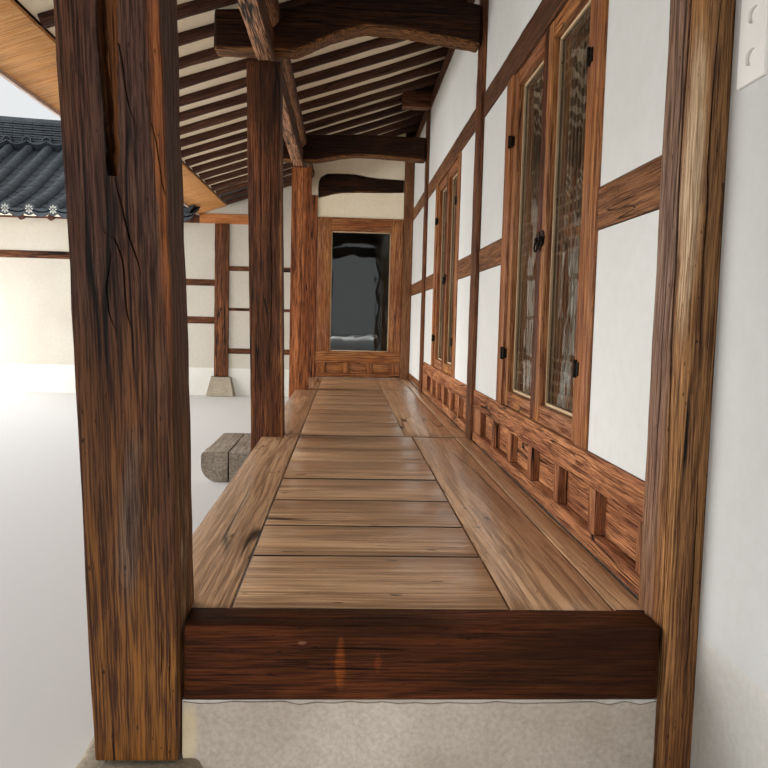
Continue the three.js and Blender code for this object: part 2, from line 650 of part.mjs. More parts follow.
function dadoRecesses(x0, x1) {
  const recesses = [];
  for (let x = x1 - 75; x - DADO_RECESS.width > x0 + 40; x -= DADO_RECESS.pitch) {
    recesses.push(
      block(
        x - DADO_RECESS.width,
        x,
        TIMBER_FACE - 1,
        TIMBER_FACE + DADO_RECESS.depth,
        DADO_RECESS.bottom,
        DADO_RECESS.top,
      ),
    );
  }
  return recesses;
}
const grownRails = (x0, x1, rails) =>
  rails.map(({ bottom, top }) => block(x0, x1, TIMBER_FACE - 1, RAIL_BACK + GAP, bottom - GAP, top + GAP));
const bays = [
  { number: 1, x0: X_B + POST / 2, x1: X_A - POST / 2, opening: X_WINDOW_1 },
  { number: 2, x0: X_C + POST / 2, x1: X_B - POST / 2, opening: X_WINDOW_2 },
];
for (const { number, x0, x1, opening } of bays) {
  const { pieces, jambNear, jambFar } = windowFrame(x0 + GAP, x1 - GAP, opening);
  place("timber_frame_" + number, cut(join(pieces), dadoRecesses(x0, x1)), "warmTimber");
  const wall = block(x0 + GAP, x1 - GAP, Y_WALL, Y_WALL + INFILL, DADO_TOP + GAP, WALL_PURLIN.bottom);
  const holes = [
    block(jambFar - GAP, jambNear + GAP, Y_WALL - 1, Y_WALL + WALL, DADO_TOP, HEAD_RAIL.bottom + 60 + GAP),
    ...grownRails(x0, x1, [MID_RAIL, HEAD_RAIL]),
  ];
  place("bay_wall_" + number, cut(wall, holes), "plaster");

  // Two glazed leaves that meet in the middle of the opening, with one pane sheet behind them.
  const leafWidth = WINDOW.width / 2 - 3;
  const sashFace = TIMBER_FACE + 14;
  [
    ["near", opening - 2 - leafWidth],
    ["far", opening - WINDOW.width + 2],
  ].forEach(([side, left]) => {
    const leaf = block(
      left,
      left + leafWidth,
      sashFace,
      sashFace + WINDOW.leaf,
      DADO_TOP + GAP,
      HEAD_RAIL.bottom - GAP,
    );
    const pane = block(
      left + WINDOW.stile,
      left + leafWidth - WINDOW.stile,
      sashFace - 1,
      sashFace + WINDOW.leaf + 1,
      DADO_TOP + WINDOW.bottomRail,
      HEAD_RAIL.bottom - WINDOW.stile,
    );
    place("window_leaf_" + number + "_" + side, leaf.subtract(pane), "warmTimber");
  });
  const paneY = sashFace + WINDOW.leaf + GAP;
  place(
    "window_glass_" + number,
    block(opening - WINDOW.width + 1, opening - 1, paneY, paneY + 6, DADO_TOP + 1, HEAD_RAIL.bottom - 1),
    "glass",
  );
}

// Third bay: no window, only rails, framed into the far inner post.
const bay3 = { x0: farInnerPost.x + POST / 2, x1: X_C - POST / 2 };
const LOW_RAIL = { bottom: FLOOR, top: 480 };
place(
  "timber_frame_3",
  join([
    postBlock(farInnerPost),
    ...[LOW_RAIL, MID_RAIL, HEAD_RAIL].map(({ bottom, top }) =>
      block(bay3.x0 - 5, bay3.x1 - GAP, TIMBER_FACE, RAIL_BACK, bottom, top),
    ),
  ]),
  "darkTimber",
);
place(
  "bay_wall_3",
  cut(
    block(bay3.x0 + GAP, bay3.x1 - GAP, Y_WALL, Y_WALL + INFILL, FLOOR, WALL_PURLIN.bottom),
    grownRails(bay3.x0, bay3.x1, [LOW_RAIL, MID_RAIL, HEAD_RAIL]),
  ),
  "plaster",
);
place(
  "near_bay_wall",
  block(
    X_A + POST / 2 + GAP,
    X_NEAR_END - POST / 2 - GAP,
    Y_NEAR_WALL,
    Y_NEAR_WALL + INFILL,
    FLOOR,
    WALL_PURLIN.bottom,
  ),
  "plaster",
);

// Wall that closes the far end of the veranda: a fixed glazed frame over a low panel.
const FAR_FRAME = { top: 2432, depth: 80 };
const FAR_PANE = { y0: -200, y1: 560, z0: 737, z1: 2262 };
const FAR_RECESS = { bottom: 455, top: 592, width: 225, pitch: 298, first: -244, depth: 14 };
const farY0 = Y_VERANDA + POST / 2 + GAP;
const farY1 = FAR_INNER_Y - POST / 2 - GAP;
const farRecesses = [0, 1, 2].map((i) => {
  const { depth, width, bottom, top } = FAR_RECESS;
  const y = FAR_RECESS.first + i * FAR_RECESS.pitch;
  return block(X_FAR_WALL - depth, X_FAR_WALL + 1, y, y + width, bottom, top);
});
const { y0: paneY0, y1: paneY1, z0: paneZ0, z1: paneZ1 } = FAR_PANE;
place(
  "far_glazed_frame",
  cut(block(X_FAR_WALL - FAR_FRAME.depth, X_FAR_WALL, farY0, farY1, FLOOR, FAR_FRAME.top), [
    block(X_FAR_WALL - FAR_FRAME.depth - 1, X_FAR_WALL + 1, paneY0, paneY1, paneZ0, paneZ1),
    ...farRecesses,
  ]),
  "warmTimber",
);
place(
  "far_glass",
  block(X_FAR_WALL - 46, X_FAR_WALL - 40, paneY0 + GAP, paneY1 - GAP, paneZ0 + GAP, paneZ1 - GAP),
  "glass",
);
// A log bent by nature, let into the plaster over the glazed frame.
const bentOutline = counterClockwise([
  ...curve([[farY0, 2666], [-290, 2686], [-140, 2726], [0, 2741], [330, 2752], [farY1, 2762]], 12),
  ...curve([[farY1, 2924], [373, 2938], [208, 2957], [44, 2982], [-270, 2974]], 10),
  [-345, 2935],
  [-372, 2880],
  [farY0, 2800],
]);
const BENT_DEPTH = 60;
place("bent_beam", alongX(bentOutline, X_FAR_WALL - BENT_DEPTH, X_FAR_WALL), "darkTimber");
const bentCut = alongX(bentOutline, X_FAR_WALL - BENT_DEPTH - GAP, X_FAR_WALL + 1);
const farPlaster = alongX(
  counterClockwise([
    [farY0, FAR_FRAME.top + GAP],
    [farY1, FAR_FRAME.top + GAP],
    [farY1, roofUnderside(farY1) - GAP],
    [farY0, roofUnderside(farY0) - GAP],
  ]),
  X_FAR_WALL - WALL,
  X_FAR_WALL - 20,
);
// The plaster goes on over the post, up to the purlin.
const overPostY = PURLIN_Y + JANGYEO.width / 2 + GAP;
const overPost = alongX(
  counterClockwise([
    [overPostY, JANGYEO.bottom + GAP],
    [farY0 + 1, JANGYEO.bottom + GAP],
    [farY0 + 1, roofUnderside(farY0) - GAP],
    [overPostY, roofUnderside(overPostY) - GAP],
  ]),
  X_FAR_WALL - WALL,
  X_FAR_WALL - 20,
);
const purlinClearance = log(
  [X_FAR_WALL - 200, PURLIN_Y, purlinAxis],
  [X_FAR_WALL, PURLIN_Y, purlinAxis],
  PURLIN_R + 1,
  12,
);
place("far_wall", cut(farPlaster.add(overPost), [bentCut, purlinClearance]), "plaster");

// The short wall beside it, back to the wing.
place(
  "side_wall",
  block(
    courtFace,
    FAR_POST_X - POST / 2 - GAP,
    Y_VERANDA - WALL / 2,
    Y_VERANDA + WALL / 2,
    FLOOR,
    JANGYEO.bottom,
  ),
  "plaster",
);

// Outer walls of the hidden sides. The gables follow the roof.
const gableTop = (y0, y1) =>
  [y1, Y_BACK, Y_RIDGE, Y_WALL_POST, y0]
    .filter((y, i, all) => i === 0 || i === all.length - 1 || (y > y0 && y < y1))
    .map((y) => [y, roofUnderside(y) - GAP]);
const purlinCuts = [
  [Y_WALL, Y_WALL + WALL_PURLIN.width],
  [Y_BACK - WALL_PURLIN.width / 2, Y_BACK + WALL_PURLIN.width / 2],
].map(([y0, y1]) =>
  block(ROOF_X0, ROOF_X1, y0 - GAP, y1 + GAP, WALL_PURLIN.bottom - GAP, roofUnderside(Y_RIDGE)),
);
const nearY0 = Y_WALL_POST + POST / 2 + GAP;
const backY1 = Y_BACK - POST / 2 - GAP;
place(
  "near_end_wall",
  alongX(
    counterClockwise([[nearY0, FLOOR], [backY1, FLOOR], ...gableTop(nearY0, backY1)]),
    X_NEAR_END - WALL / 2,
    X_NEAR_END + WALL / 2,
  ),
  "plaster",
);
place(
  "back_wall",
  block(
    X_FAR_END + POST / 2 + GAP,
    X_NEAR_END - POST / 2 - GAP,
    Y_BACK - WALL / 2,
    Y_BACK + WALL / 2,
    FLOOR,
    WALL_PURLIN.bottom,
  ),
  "plaster",
);
const farY = { start: Y_WING_END + POST / 2 + GAP, end: backY1 };
place(
  "far_end_wall",
  cut(
    alongX(
      counterClockwise([
        [farY.start, FLOOR],
        [farY.end, FLOOR],
        ...gableTop(WING_ROOF_START + 20, farY.end),
        [WING_ROOF_START + 20, WING_PURLIN.bottom],
        [farY.start, WING_PURLIN.bottom],
      ]),
      X_FAR_END - WALL / 2,
      X_FAR_END + WALL / 2,
    ),
    purlinCuts,
  ),
  "plaster",
);
place(
  "wing_court_wall",
  cut(
    alongX(
      counterClockwise([
        [farY.start, FLOOR],
        [Y_VERANDA + WALL / 2, FLOOR],
        ...gableTop(WING_ROOF_START + 20, Y_VERANDA + WALL / 2),
        [WING_ROOF_START + 20, WING_PURLIN.bottom],
        [farY.start, WING_PURLIN.bottom],
      ]),
      X_WING_FRONT - WALL / 2,
      X_WING_FRONT + WALL / 2,
    ),
    [postBlock(posts.wing_post_1, GAP)],
  ),
  "plaster",
);
const wingGable = [wingCentre + wingHalf - POST / 2 - GAP, wingCentre - wingHalf + POST / 2 + GAP];
place(
  "wing_end_wall",
  alongY(
    counterClockwise([
      [wingGable[1], FLOOR],
      [wingGable[0], FLOOR],
      [wingGable[0], wingUnderside(wingGable[0]) - 2 * GAP],
      [wingCentre, wingUnderside(wingCentre) - 2 * GAP],
      [wingGable[1], wingUnderside(wingGable[1]) - 2 * GAP],
    ]),
    Y_WING_END - WALL / 2,
    Y_WING_END + WALL / 2,
  ).subtract(
    block(
      wingCentre - RIDGE_BEAM.half - GAP,
      wingCentre + RIDGE_BEAM.half + GAP,
      WING_Y0,
      WING_ROOF_START,
      RIDGE_BEAM.bottom - GAP,
      wingUnderside(wingCentre),
    ),
  ),
  "plaster",
);

// Low base of packed earth and stone under all the rooms, with the end wall under the veranda sill.
const plan = [
  [X_NEAR_END + WALL / 2, Y_NEAR_WALL],
  [X_NEAR_END + WALL / 2, Y_BACK + WALL / 2],
  [X_FAR_END - WALL / 2, Y_BACK + WALL / 2],
  [X_FAR_END - WALL / 2, Y_WING_END - WALL / 2],
  [courtFace, Y_WING_END - WALL / 2],
  [courtFace, Y_VERANDA - WALL / 2],
  [X_FAR_WALL - 4, Y_VERANDA - WALL / 2],
  [X_FAR_WALL - 4, Y_WALL + 14],
  [X_A, Y_WALL + 14],
  [X_A, Y_NEAR_WALL],
];
const foundation = cut(upwards(counterClockwise(plan), 0, FLOOR), [...postCuts, stoneCuts[1]]);
const baseWall = block(
  X_A + BASE_WALL.far,
  X_A + BASE_WALL.near,
  Y_VERANDA + POST / 2 + GAP,
  Y_WALL_POST - POST / 2 - GAP,
  0,
  SILL.bottom,
).subtract(stoneCuts[0]);
// The end wall is bonded to the base beside the wall post.
const bond = block(X_A - 170, X_A - 20, 640, Y_WALL + 24, 0, SILL.bottom);
const bondBesidePost = bond.subtract(postBlock(posts.wall_post_a, GAP));
place("foundation", join([foundation, baseWall, bondBesidePost]), "render");

// Veranda floor: boards on cross joists, with a deeper beam along the open edge.
const deckNear = X_A + SILL.far - GAP;
const beamBottom = FLOOR - EDGE_BEAM.depth;
const joists = [X_B, X_C].map((x) =>
  block(x - 95, x + 95, DECK_FRONT, DECK_BACK - 30, beamBottom, FLOOR - BOARD + 1),
);
const deck = join([
  block(X_FAR_WALL, deckNear, DECK_FRONT, DECK_BACK, FLOOR - BOARD, FLOOR),
  block(X_FAR_WALL, deckNear, DECK_FRONT, DECK_FRONT + EDGE_BEAM.width, beamBottom, FLOOR - BOARD + 1),
  ...joists,
]);
place("veranda_floor", cut(deck, postCuts), "floorTimber");
place(
  "end_sill_beam",
  block(
    X_A + SILL.far,
    X_A + SILL.near,
    Y_VERANDA + POST / 2 + GAP,
    Y_WALL_POST - POST / 2 - GAP,
    SILL.bottom,
    FLOOR + 6,
  ),
  "warmTimber",
);

// A timber step beside the second post, rounded at its ends.
const STEP = { x0: -4330, x1: -3430, y0: -985, y1: -600, height: 214, round: 70 };
const stepShape = new THREE.Shape();
stepShape.moveTo(STEP.x0 + STEP.round, STEP.y0);
stepShape.lineTo(STEP.x1 - STEP.round, STEP.y0);
stepShape.absarc(STEP.x1 - STEP.round, STEP.y0 + STEP.round, STEP.round, -Math.PI / 2, 0);
stepShape.lineTo(STEP.x1, STEP.y1);
stepShape.lineTo(STEP.x0, STEP.y1);
stepShape.lineTo(STEP.x0, STEP.y0 + STEP.round);
stepShape.absarc(STEP.x0 + STEP.round, STEP.y0 + STEP.round, STEP.round, Math.PI, 1.5 * Math.PI);
const stepGeometry = new THREE.ExtrudeGeometry(stepShape, {
  depth: STEP.height,
  bevelEnabled: false,
  curveSegments: 5,
});
place("timber_step", solid(stepGeometry), "greyTimber");

// The origin lies on the ground under the middle of the roofs' outline.
house.position.set(-(ROOF_X0 + ROOF_X1) / 2, -(WING_Y0 + BACK_EDGE) / 2, 0);

export default house;
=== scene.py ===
"""Looks of an L-shaped hanok house: timber, floor, windows, plaster walls and tiled roofs."""

import logging
import math
import random
from dataclasses import dataclass, field
from enum import Enum
from typing import Callable, Sequence

import bpy
import numpy as np
from mathutils import Matrix, Vector


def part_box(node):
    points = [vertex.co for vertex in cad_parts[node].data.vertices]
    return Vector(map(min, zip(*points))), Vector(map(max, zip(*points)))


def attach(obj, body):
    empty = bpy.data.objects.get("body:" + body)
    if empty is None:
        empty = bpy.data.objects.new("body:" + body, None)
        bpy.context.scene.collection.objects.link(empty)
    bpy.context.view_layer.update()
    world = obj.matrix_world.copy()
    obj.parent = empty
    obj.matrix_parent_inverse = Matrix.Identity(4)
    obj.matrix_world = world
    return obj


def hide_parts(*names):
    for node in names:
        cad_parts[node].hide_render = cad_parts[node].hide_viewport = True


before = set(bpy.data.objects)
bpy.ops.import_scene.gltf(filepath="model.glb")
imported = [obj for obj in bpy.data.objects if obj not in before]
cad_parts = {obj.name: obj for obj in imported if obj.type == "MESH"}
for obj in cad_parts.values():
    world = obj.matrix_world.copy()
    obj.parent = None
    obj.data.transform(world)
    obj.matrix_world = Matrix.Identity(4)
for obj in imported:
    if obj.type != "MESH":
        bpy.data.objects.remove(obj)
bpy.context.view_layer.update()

LOG = logging.getLogger("hanok")
Mesh = bpy.types.Object
Socket = bpy.types.NodeSocket
FLOOR = 0.4  # height of the veranda boards over the ground


class Axis(Enum):
    """Direction in which a timber lies."""

    X = 0
    Y = 1
    Z = 2


class Sawn(Enum):
    """How a timber was taken from its log."""

    HEART = "squared log with its heart inside"
    SLAB = "board with the heart beyond its wide face"
    ROUND = "whole log"


@dataclass(frozen=True)
class Box:
    """An upright block between its lowest and highest corners, in metres."""

    lo: tuple[float, float, float]
    hi: tuple[float, float, float]

    @classmethod
    def of(cls, node: str) -> "Box":
        """Box of a CAD node at rest."""
        lo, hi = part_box(node)
        return cls(tuple(lo), tuple(hi))

    @classmethod
    def span(cls, x: Sequence[float], y: Sequence[float], z: Sequence[float]) -> "Box":
        """Box from three ranges."""
        return cls((x[0], y[0], z[0]), (x[1], y[1], z[1]))

    @property
    def ranges(self) -> tuple[tuple[float, float], ...]:
        """The block's ranges along X, Y and Z."""
        return tuple(zip(self.lo, self.hi))

    @property
    def centre(self) -> Vector:
        """Middle of the block."""
        return (Vector(self.lo) + Vector(self.hi)) / 2

    @property
    def size(self) -> Vector:
        """Lengths of the block's sides."""
        return Vector(self.hi) - Vector(self.lo)


# Modelling steps

def pick(*objects: Mesh) -> None:
    """Select only these objects, with the first one active."""
    bpy.ops.object.select_all(action="DESELECT")
    for item in objects:
        item.select_set(True)
    bpy.context.view_layer.objects.active = objects[0]


def settle(item: Mesh) -> Mesh:
    """Move the object's place, turn and scale into its mesh."""
    pick(item)
    bpy.ops.object.transform_apply(location=True, rotation=True, scale=True)
    return item


def named(item: Mesh, name: str) -> Mesh:
    """Name an object and its mesh."""
    item.name = name
    item.data.name = name
    return item


def modify(item: Mesh, kind: str, **settings: object) -> Mesh:
    """Put a modifier on an object and apply it.

    Args:
        item: The object to change.
        kind: Blender's name of the modifier type.
        settings: Values of the modifier's own properties.

    Returns:
        The same object.
    """
    modifier = item.modifiers.new(kind.title(), kind)
    for key, value in settings.items():
        setattr(modifier, key, value)
    pick(item)
    bpy.ops.object.modifier_apply(modifier=modifier.name)
    return item


def twin(item: Mesh, offset: Sequence[float] = (0, 0, 0)) -> Mesh:
    """Copy an object with a mesh of its own, moved by an offset."""
    copy = item.copy()
    copy.data = item.data.copy()
    bpy.context.scene.collection.objects.link(copy)
    copy.data.transform(Matrix.Translation(Vector(offset)))
    return copy


def join(pieces: Sequence[Mesh]) -> Mesh:
    """Join several meshes into the first one."""
    pick(*pieces)
    if len(pieces) > 1:
        bpy.ops.object.join()
    return pieces[0]


def open_edit(item: Mesh, test: Callable[[Vector, Vector], bool] | None, faces: bool) -> None:
    """Select what passes a test, and open the mesh for editing.

    Args:
        item: The mesh's object.
        test: Test of an edge's two ends or of a face's centre and normal, or None for everything.
        faces: Whether faces are selected, and not edges.
    """
    pick(item)
    bpy.context.tool_settings.mesh_select_mode = (False, not faces, faces)
    mesh = item.data
    for layer in (mesh.vertices, mesh.edges, mesh.polygons):
        layer.foreach_set("select", np.zeros(len(layer), dtype=bool))
    for part in mesh.polygons if faces else mesh.edges:
        facts = (part.center, part.normal) if faces else (mesh.vertices[index].co for index in part.vertices)
        part.select = test is None or test(*facts)
    bpy.ops.object.mode_set(mode="EDIT")


def edit(item: Mesh, tool: Callable, test: Callable[[Vector, Vector], bool] | None = None,
         faces: bool = False, **settings: object) -> None:
    """Use an edit tool on the edges or faces that pass a test.

    Args:
        item: The mesh's object.
        tool: Blender's operator.
        test: Test of an edge's two ends or of a face's centre and normal, or None for everything.
        faces: Whether faces are selected, and not edges.
        settings: The operator's settings.
    """
    open_edit(item, test, faces)
    tool(**settings)
    bpy.ops.object.mode_set(mode="OBJECT")


def cut_level(item: Mesh, height: float, upper: bool, fill: bool = True) -> None:
    """Cut a mesh at a height and keep its upper or its lower part."""
    edit(item, bpy.ops.mesh.bisect, faces=True, plane_co=(0, 0, height), plane_no=(0, 0, 1),
         clear_inner=upper, clear_outer=not upper, use_fill=fill)


def carve(item: Mesh, tool: Mesh) -> None:
    """Cut a tool's shape out of a mesh, and drop the tool."""
    modify(item, "BOOLEAN", operation="DIFFERENCE", object=tool, solver="EXACT")
    bpy.data.objects.remove(tool)


def repeat(item: Mesh, count: int, step: Sequence[float]) -> Mesh:
    """A row of copies at an even step, in one mesh."""
    return modify(item, "ARRAY", count=count, use_relative_offset=False, use_constant_offset=True,
                  constant_offset_displace=step)


def points_of(item: Mesh) -> np.ndarray:
    """Vertex coordinates as an array of rows."""
    values = np.empty(len(item.data.vertices) * 3)
    item.data.vertices.foreach_get("co", values)
    return values.reshape(-1, 3)


def set_points(item: Mesh, points: np.ndarray) -> None:
    """Write changed vertex coordinates back."""
    item.data.vertices.foreach_set("co", points.ravel())
    item.data.update()


def roughen(item: Mesh, depth: float, size: float, direction: str = "NORMAL") -> Mesh:
    """Press a surface inwards unevenly by up to a depth, in lumps of a size."""
    name = f"lumps_{size:.3f}"
    lumps = bpy.data.textures.get(name) or bpy.data.textures.new(name, "CLOUDS")
    lumps.noise_scale = size
    lumps.noise_depth = 1
    middle = 1.0 if direction == "NORMAL" else 0.5
    return modify(item, "DISPLACE", texture=lumps, strength=depth, mid_level=middle, direction=direction)


# Timber

@dataclass(frozen=True)
class Hewing:
    """How finely a timber was worked: edge width, unevenness and spacing of its sections."""

    edge: float
    uneven: float
    section: float
    lumps: float = 0.16


HEWN = Hewing(edge=0.008, uneven=0.007, section=0.09)
PLANED = Hewing(edge=0.003, uneven=0.0015, section=0.2)
FINE = Hewing(edge=0.0015, uneven=0.0, section=9.0)


def write_grain(item: Mesh, centre: Vector, along: Axis, sawn: Sawn, rng: random.Random,
                size: Vector | None = None) -> None:
    """Give a timber the coordinates of its own log: two across the grain and one along it.

    Args:
        item: The timber.
        centre: Its middle.
        along: Direction of the grain.
        sawn: Where the heart of the log lies.
        rng: Source of the log's place in the pattern.
        size: Lengths of the timber's sides, which tell a board's flat side.
    """
    across = [axis.value for axis in Axis if axis is not along]
    order = across + [along.value]
    points = (points_of(item) - np.array(centre))[:, order]
    shift = [rng.uniform(-0.02, 0.02), rng.uniform(-0.02, 0.02), rng.uniform(0, 90)]
    if sawn is Sawn.SLAB and size is not None:
        thin = 0 if size[across[0]] < size[across[1]] else 1
        wide = size[across[1 - thin]]
        shift[thin] = rng.choice((-1, 1)) * rng.uniform(0.035, 0.09)
        shift[1 - thin] = rng.uniform(-0.2, 0.2) * wide
    points += np.array(shift)
    attribute = item.data.attributes.get("grain")
    if attribute is None:
        attribute = item.data.attributes.new("grain", "FLOAT_VECTOR", "POINT")
    attribute.data.foreach_set("vector", points.ravel())


def block(box: Box) -> Mesh:
    """A plain block to start from."""
    bpy.ops.mesh.primitive_cube_add(size=1, location=box.centre, scale=box.size)
    return settle(bpy.context.object)


def disc(radius: float, depth: float, sides: int, place: Sequence[float] = (0, 0, 0),
         turn: Sequence[float] = (0, 0, 0), **settings: object) -> Mesh:
    """A disc or rod to start from, with its axis upright before its turn."""
    bpy.ops.mesh.primitive_cylinder_add(radius=radius, depth=depth, vertices=sides, location=place,
                                        rotation=turn, **settings)
    return settle(bpy.context.object)


def ease(item: Mesh, width: float, segments: int = 1, angle: float = 1.0) -> Mesh:
    """Bevel the edges that are sharper than an angle, in radians."""
    return modify(item, "BEVEL", width=width, segments=segments, limit_method="ANGLE", angle_limit=angle)


def timber(box: Box, along: Axis, rng: random.Random, hewing: Hewing = PLANED,
           sawn: Sawn = Sawn.SLAB) -> Mesh:
    """A squared timber with eased edges, a slightly uneven surface and its own grain.

    Args:
        box: The space that it fills.
        along: Direction of its grain.
        rng: Source of its grain's place.
        hewing: How finely it is worked.
        sawn: How it was taken from the log.

    Returns:
        The timber.
    """
    item = block(box)
    cuts = int(box.size[along.value] / hewing.section) - 1
    if cuts > 0:
        direction = Vector([float(axis is along) for axis in Axis])
        edit(item, bpy.ops.mesh.subdivide, lambda a, b: abs((a - b).normalized().dot(direction)) > 0.9,
             number_cuts=cuts)
    ease(item, hewing.edge, 2)
    if hewing.uneven:
        roughen(item, hewing.uneven, hewing.lumps)
    write_grain(item, box.centre, along, sawn, rng, box.size)
    return item


def log_between(start: Vector, end: Vector, radius: float, rng: random.Random, sides: int = 12,
                uneven: float = 0.012, sections: int = 14) -> Mesh:
    """A round log between two points, a little crooked and knobbly.

    Args:
        start: Middle of one end.
        end: Middle of the other end.
        radius: Its greatest radius.
        rng: Source of its grain's place.
        sides: Faces round the log.
        uneven: How far its surface wanders inwards.
        sections: Pieces along its length.

    Returns:
        The log.
    """
    length = (end - start).length
    item = disc(radius, length, sides)
    edit(item, bpy.ops.mesh.subdivide, lambda a, b: abs(a.z - b.z) > length / 2, number_cuts=sections)
    ease(item, 0.004, angle=1.2)
    write_grain(item, Vector((0, 0, 0)), Axis.Z, Sawn.ROUND, rng)
    turn = (end - start).to_track_quat("Z", "Y").to_matrix().to_4x4()
    item.data.transform(Matrix.Translation((start + end) / 2) @ turn)
    if uneven:
        roughen(item, uneven, 0.3)
        roughen(item, uneven * 0.4, 0.07)
    return item


@dataclass(frozen=True)
class Check:
    """A drying crack in a post's near or courtyard face: its run as (way, height) places, width, depth."""

    run: tuple[tuple[float, float], ...]
    width: float = 0.006
    depth: float = 0.035
    court: bool = False


def split(item: Mesh, box: Box, checks: Sequence[Check]) -> None:
    """Cut drying cracks into a standing timber.

    Args:
        item: The timber.
        box: The space that it fills.
        checks: Its cracks.
    """
    for check in checks:
        places, heights = zip(*sorted(check.run, key=lambda place: place[1]))
        low, high = heights[0] - 0.02, heights[-1] + 0.02
        across, inward = (0, 1) if check.court else (1, 0)
        scale, place = Vector((0, 0, high - low)), Vector((0, 0, (low + high) / 2))
        scale[across], scale[inward] = check.width, check.depth * 2
        place[inward] = box.lo[1] if check.court else box.hi[0]
        bpy.ops.mesh.primitive_uv_sphere_add(segments=6, ring_count=26, radius=0.5)
        blade = bpy.context.object
        blade.scale, blade.location = scale, place
        settle(blade)
        points = points_of(blade)
        points[:, across] += np.interp(points[:, 2], heights, places)
        set_points(blade, points)
        roughen(blade, 0.012, 0.1, "XY"[across])
        carve(item, blade)


def recast(node: str, voxel: float, factor: float, rounds: int) -> Mesh:
    """A copy of a CAD node, built again of small cells and softened."""
    item = twin(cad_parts[node])
    item.parent = None
    modify(item, "WELD", merge_threshold=0.0002)
    modify(item, "REMESH", mode="VOXEL", voxel_size=voxel)
    return modify(item, "SMOOTH", factor=factor, iterations=rounds)


# Finishes

def tone(code: str) -> tuple[float, float, float, float]:
    """Linear colour of a six-digit screen colour."""
    parts = [int(code[i:i + 2], 16) / 255 for i in (0, 2, 4)]
    return (*[c / 12.92 if c <= 0.04045 else ((c + 0.055) / 1.055) ** 2.4 for c in parts], 1.0)


class Sheet:
    """A node tree that is filled in, one node a call."""

    def __init__(self, tree: bpy.types.NodeTree) -> None:
        """Start with an empty tree."""
        self.tree = tree
        tree.nodes.clear()

    def node(self, kind: str, inputs: dict | None = None, **settings: object) -> bpy.types.Node:
        """Add a node.

        Args:
            kind: Blender's name of the node type, without its prefix.
            inputs: Values or sockets for its inputs, by name or number.
            settings: Values of the node's own properties.

        Returns:
            The node.
        """
        made = self.tree.nodes.new(kind if kind.startswith("Node") else "ShaderNode" + kind)
        for key, value in settings.items():
            setattr(made, key, value)
        self.feed(made, inputs or {})
        return made

    def feed(self, node: bpy.types.Node, inputs: dict) -> None:
        """Link sockets to a node's inputs, or set plain values and the colours of codes on them."""
        for key, value in inputs.items():
            if isinstance(value, Socket):
                self.tree.links.new(value, node.inputs[key])
            else:
                node.inputs[key].default_value = tone(value) if isinstance(value, str) else value

    def vector(self, operation: str, a: object, b: object) -> Socket:
        """Result of a vector operation."""
        inputs = {0: a, "Scale" if operation == "SCALE" else 1: b}
        return self.node("VectorMath", inputs, operation=operation).outputs[0]

    def math(self, operation: str, a: object, b: object = 0.0) -> Socket:
        """Result of a number operation."""
        return self.node("Math", {0: a, 1: b}, operation=operation).outputs[0]

    def stretch(self, vector: Socket, factors: Sequence[float]) -> Socket:
        """A vector multiplied by three factors."""
        return self.vector("MULTIPLY", vector, factors)

    def noise(self, vector: Socket, scale: float, detail: float = 2, rough: float = 0.5) -> Socket:
        """Random field between 0 and 1."""
        values = {"Vector": vector, "Scale": scale, "Detail": detail, "Roughness": rough}
        return self.node("TexNoise", values).outputs["Fac"]

    def remap(self, value: Socket, low: float, high: float, to_low: float = 0.0,
              to_high: float = 1.0) -> Socket:
        """A number moved from one range to another and held inside it."""
        values = {0: value, 1: low, 2: high, 3: to_low, 4: to_high}
        return self.node("MapRange", values, clamp=True).outputs[0]

    def streaks(self, vector: Socket, along: float, scale: float, detail: float, low: float,
                high: float) -> Socket:
        """Random streaks along a timber's grain, spread from one range to the range 0 to 1."""
        return self.remap(self.noise(self.stretch(vector, (1, 1, along)), scale, detail, 0.6), low, high)

    def mix(self, factor: object, a: object, b: object) -> Socket:
        """Mixture of two colours."""
        return self.node("Mix", {0: factor, 6: a, 7: b}, data_type="RGBA").outputs[2]


def new_group(name: str, inputs: dict[str, tuple[str, float]], outputs: Sequence[str]) -> tuple:
    """Start a shader node group.

    Args:
        name: The group's name.
        inputs: For each input its socket kind and its starting value.
        outputs: Names of its number outputs.

    Returns:
        The group's tree, its sheet and its input node.
    """
    tree = bpy.data.node_groups.new(name, "ShaderNodeTree")
    for key, (kind, start) in inputs.items():
        socket = tree.interface.new_socket(name=key, in_out="INPUT", socket_type="NodeSocket" + kind)
        if kind == "Float":
            socket.default_value = start
    for key in outputs:
        tree.interface.new_socket(name=key, in_out="OUTPUT", socket_type="NodeSocketFloat")
    sheet = Sheet(tree)
    return tree, sheet, sheet.node("NodeGroupInput")


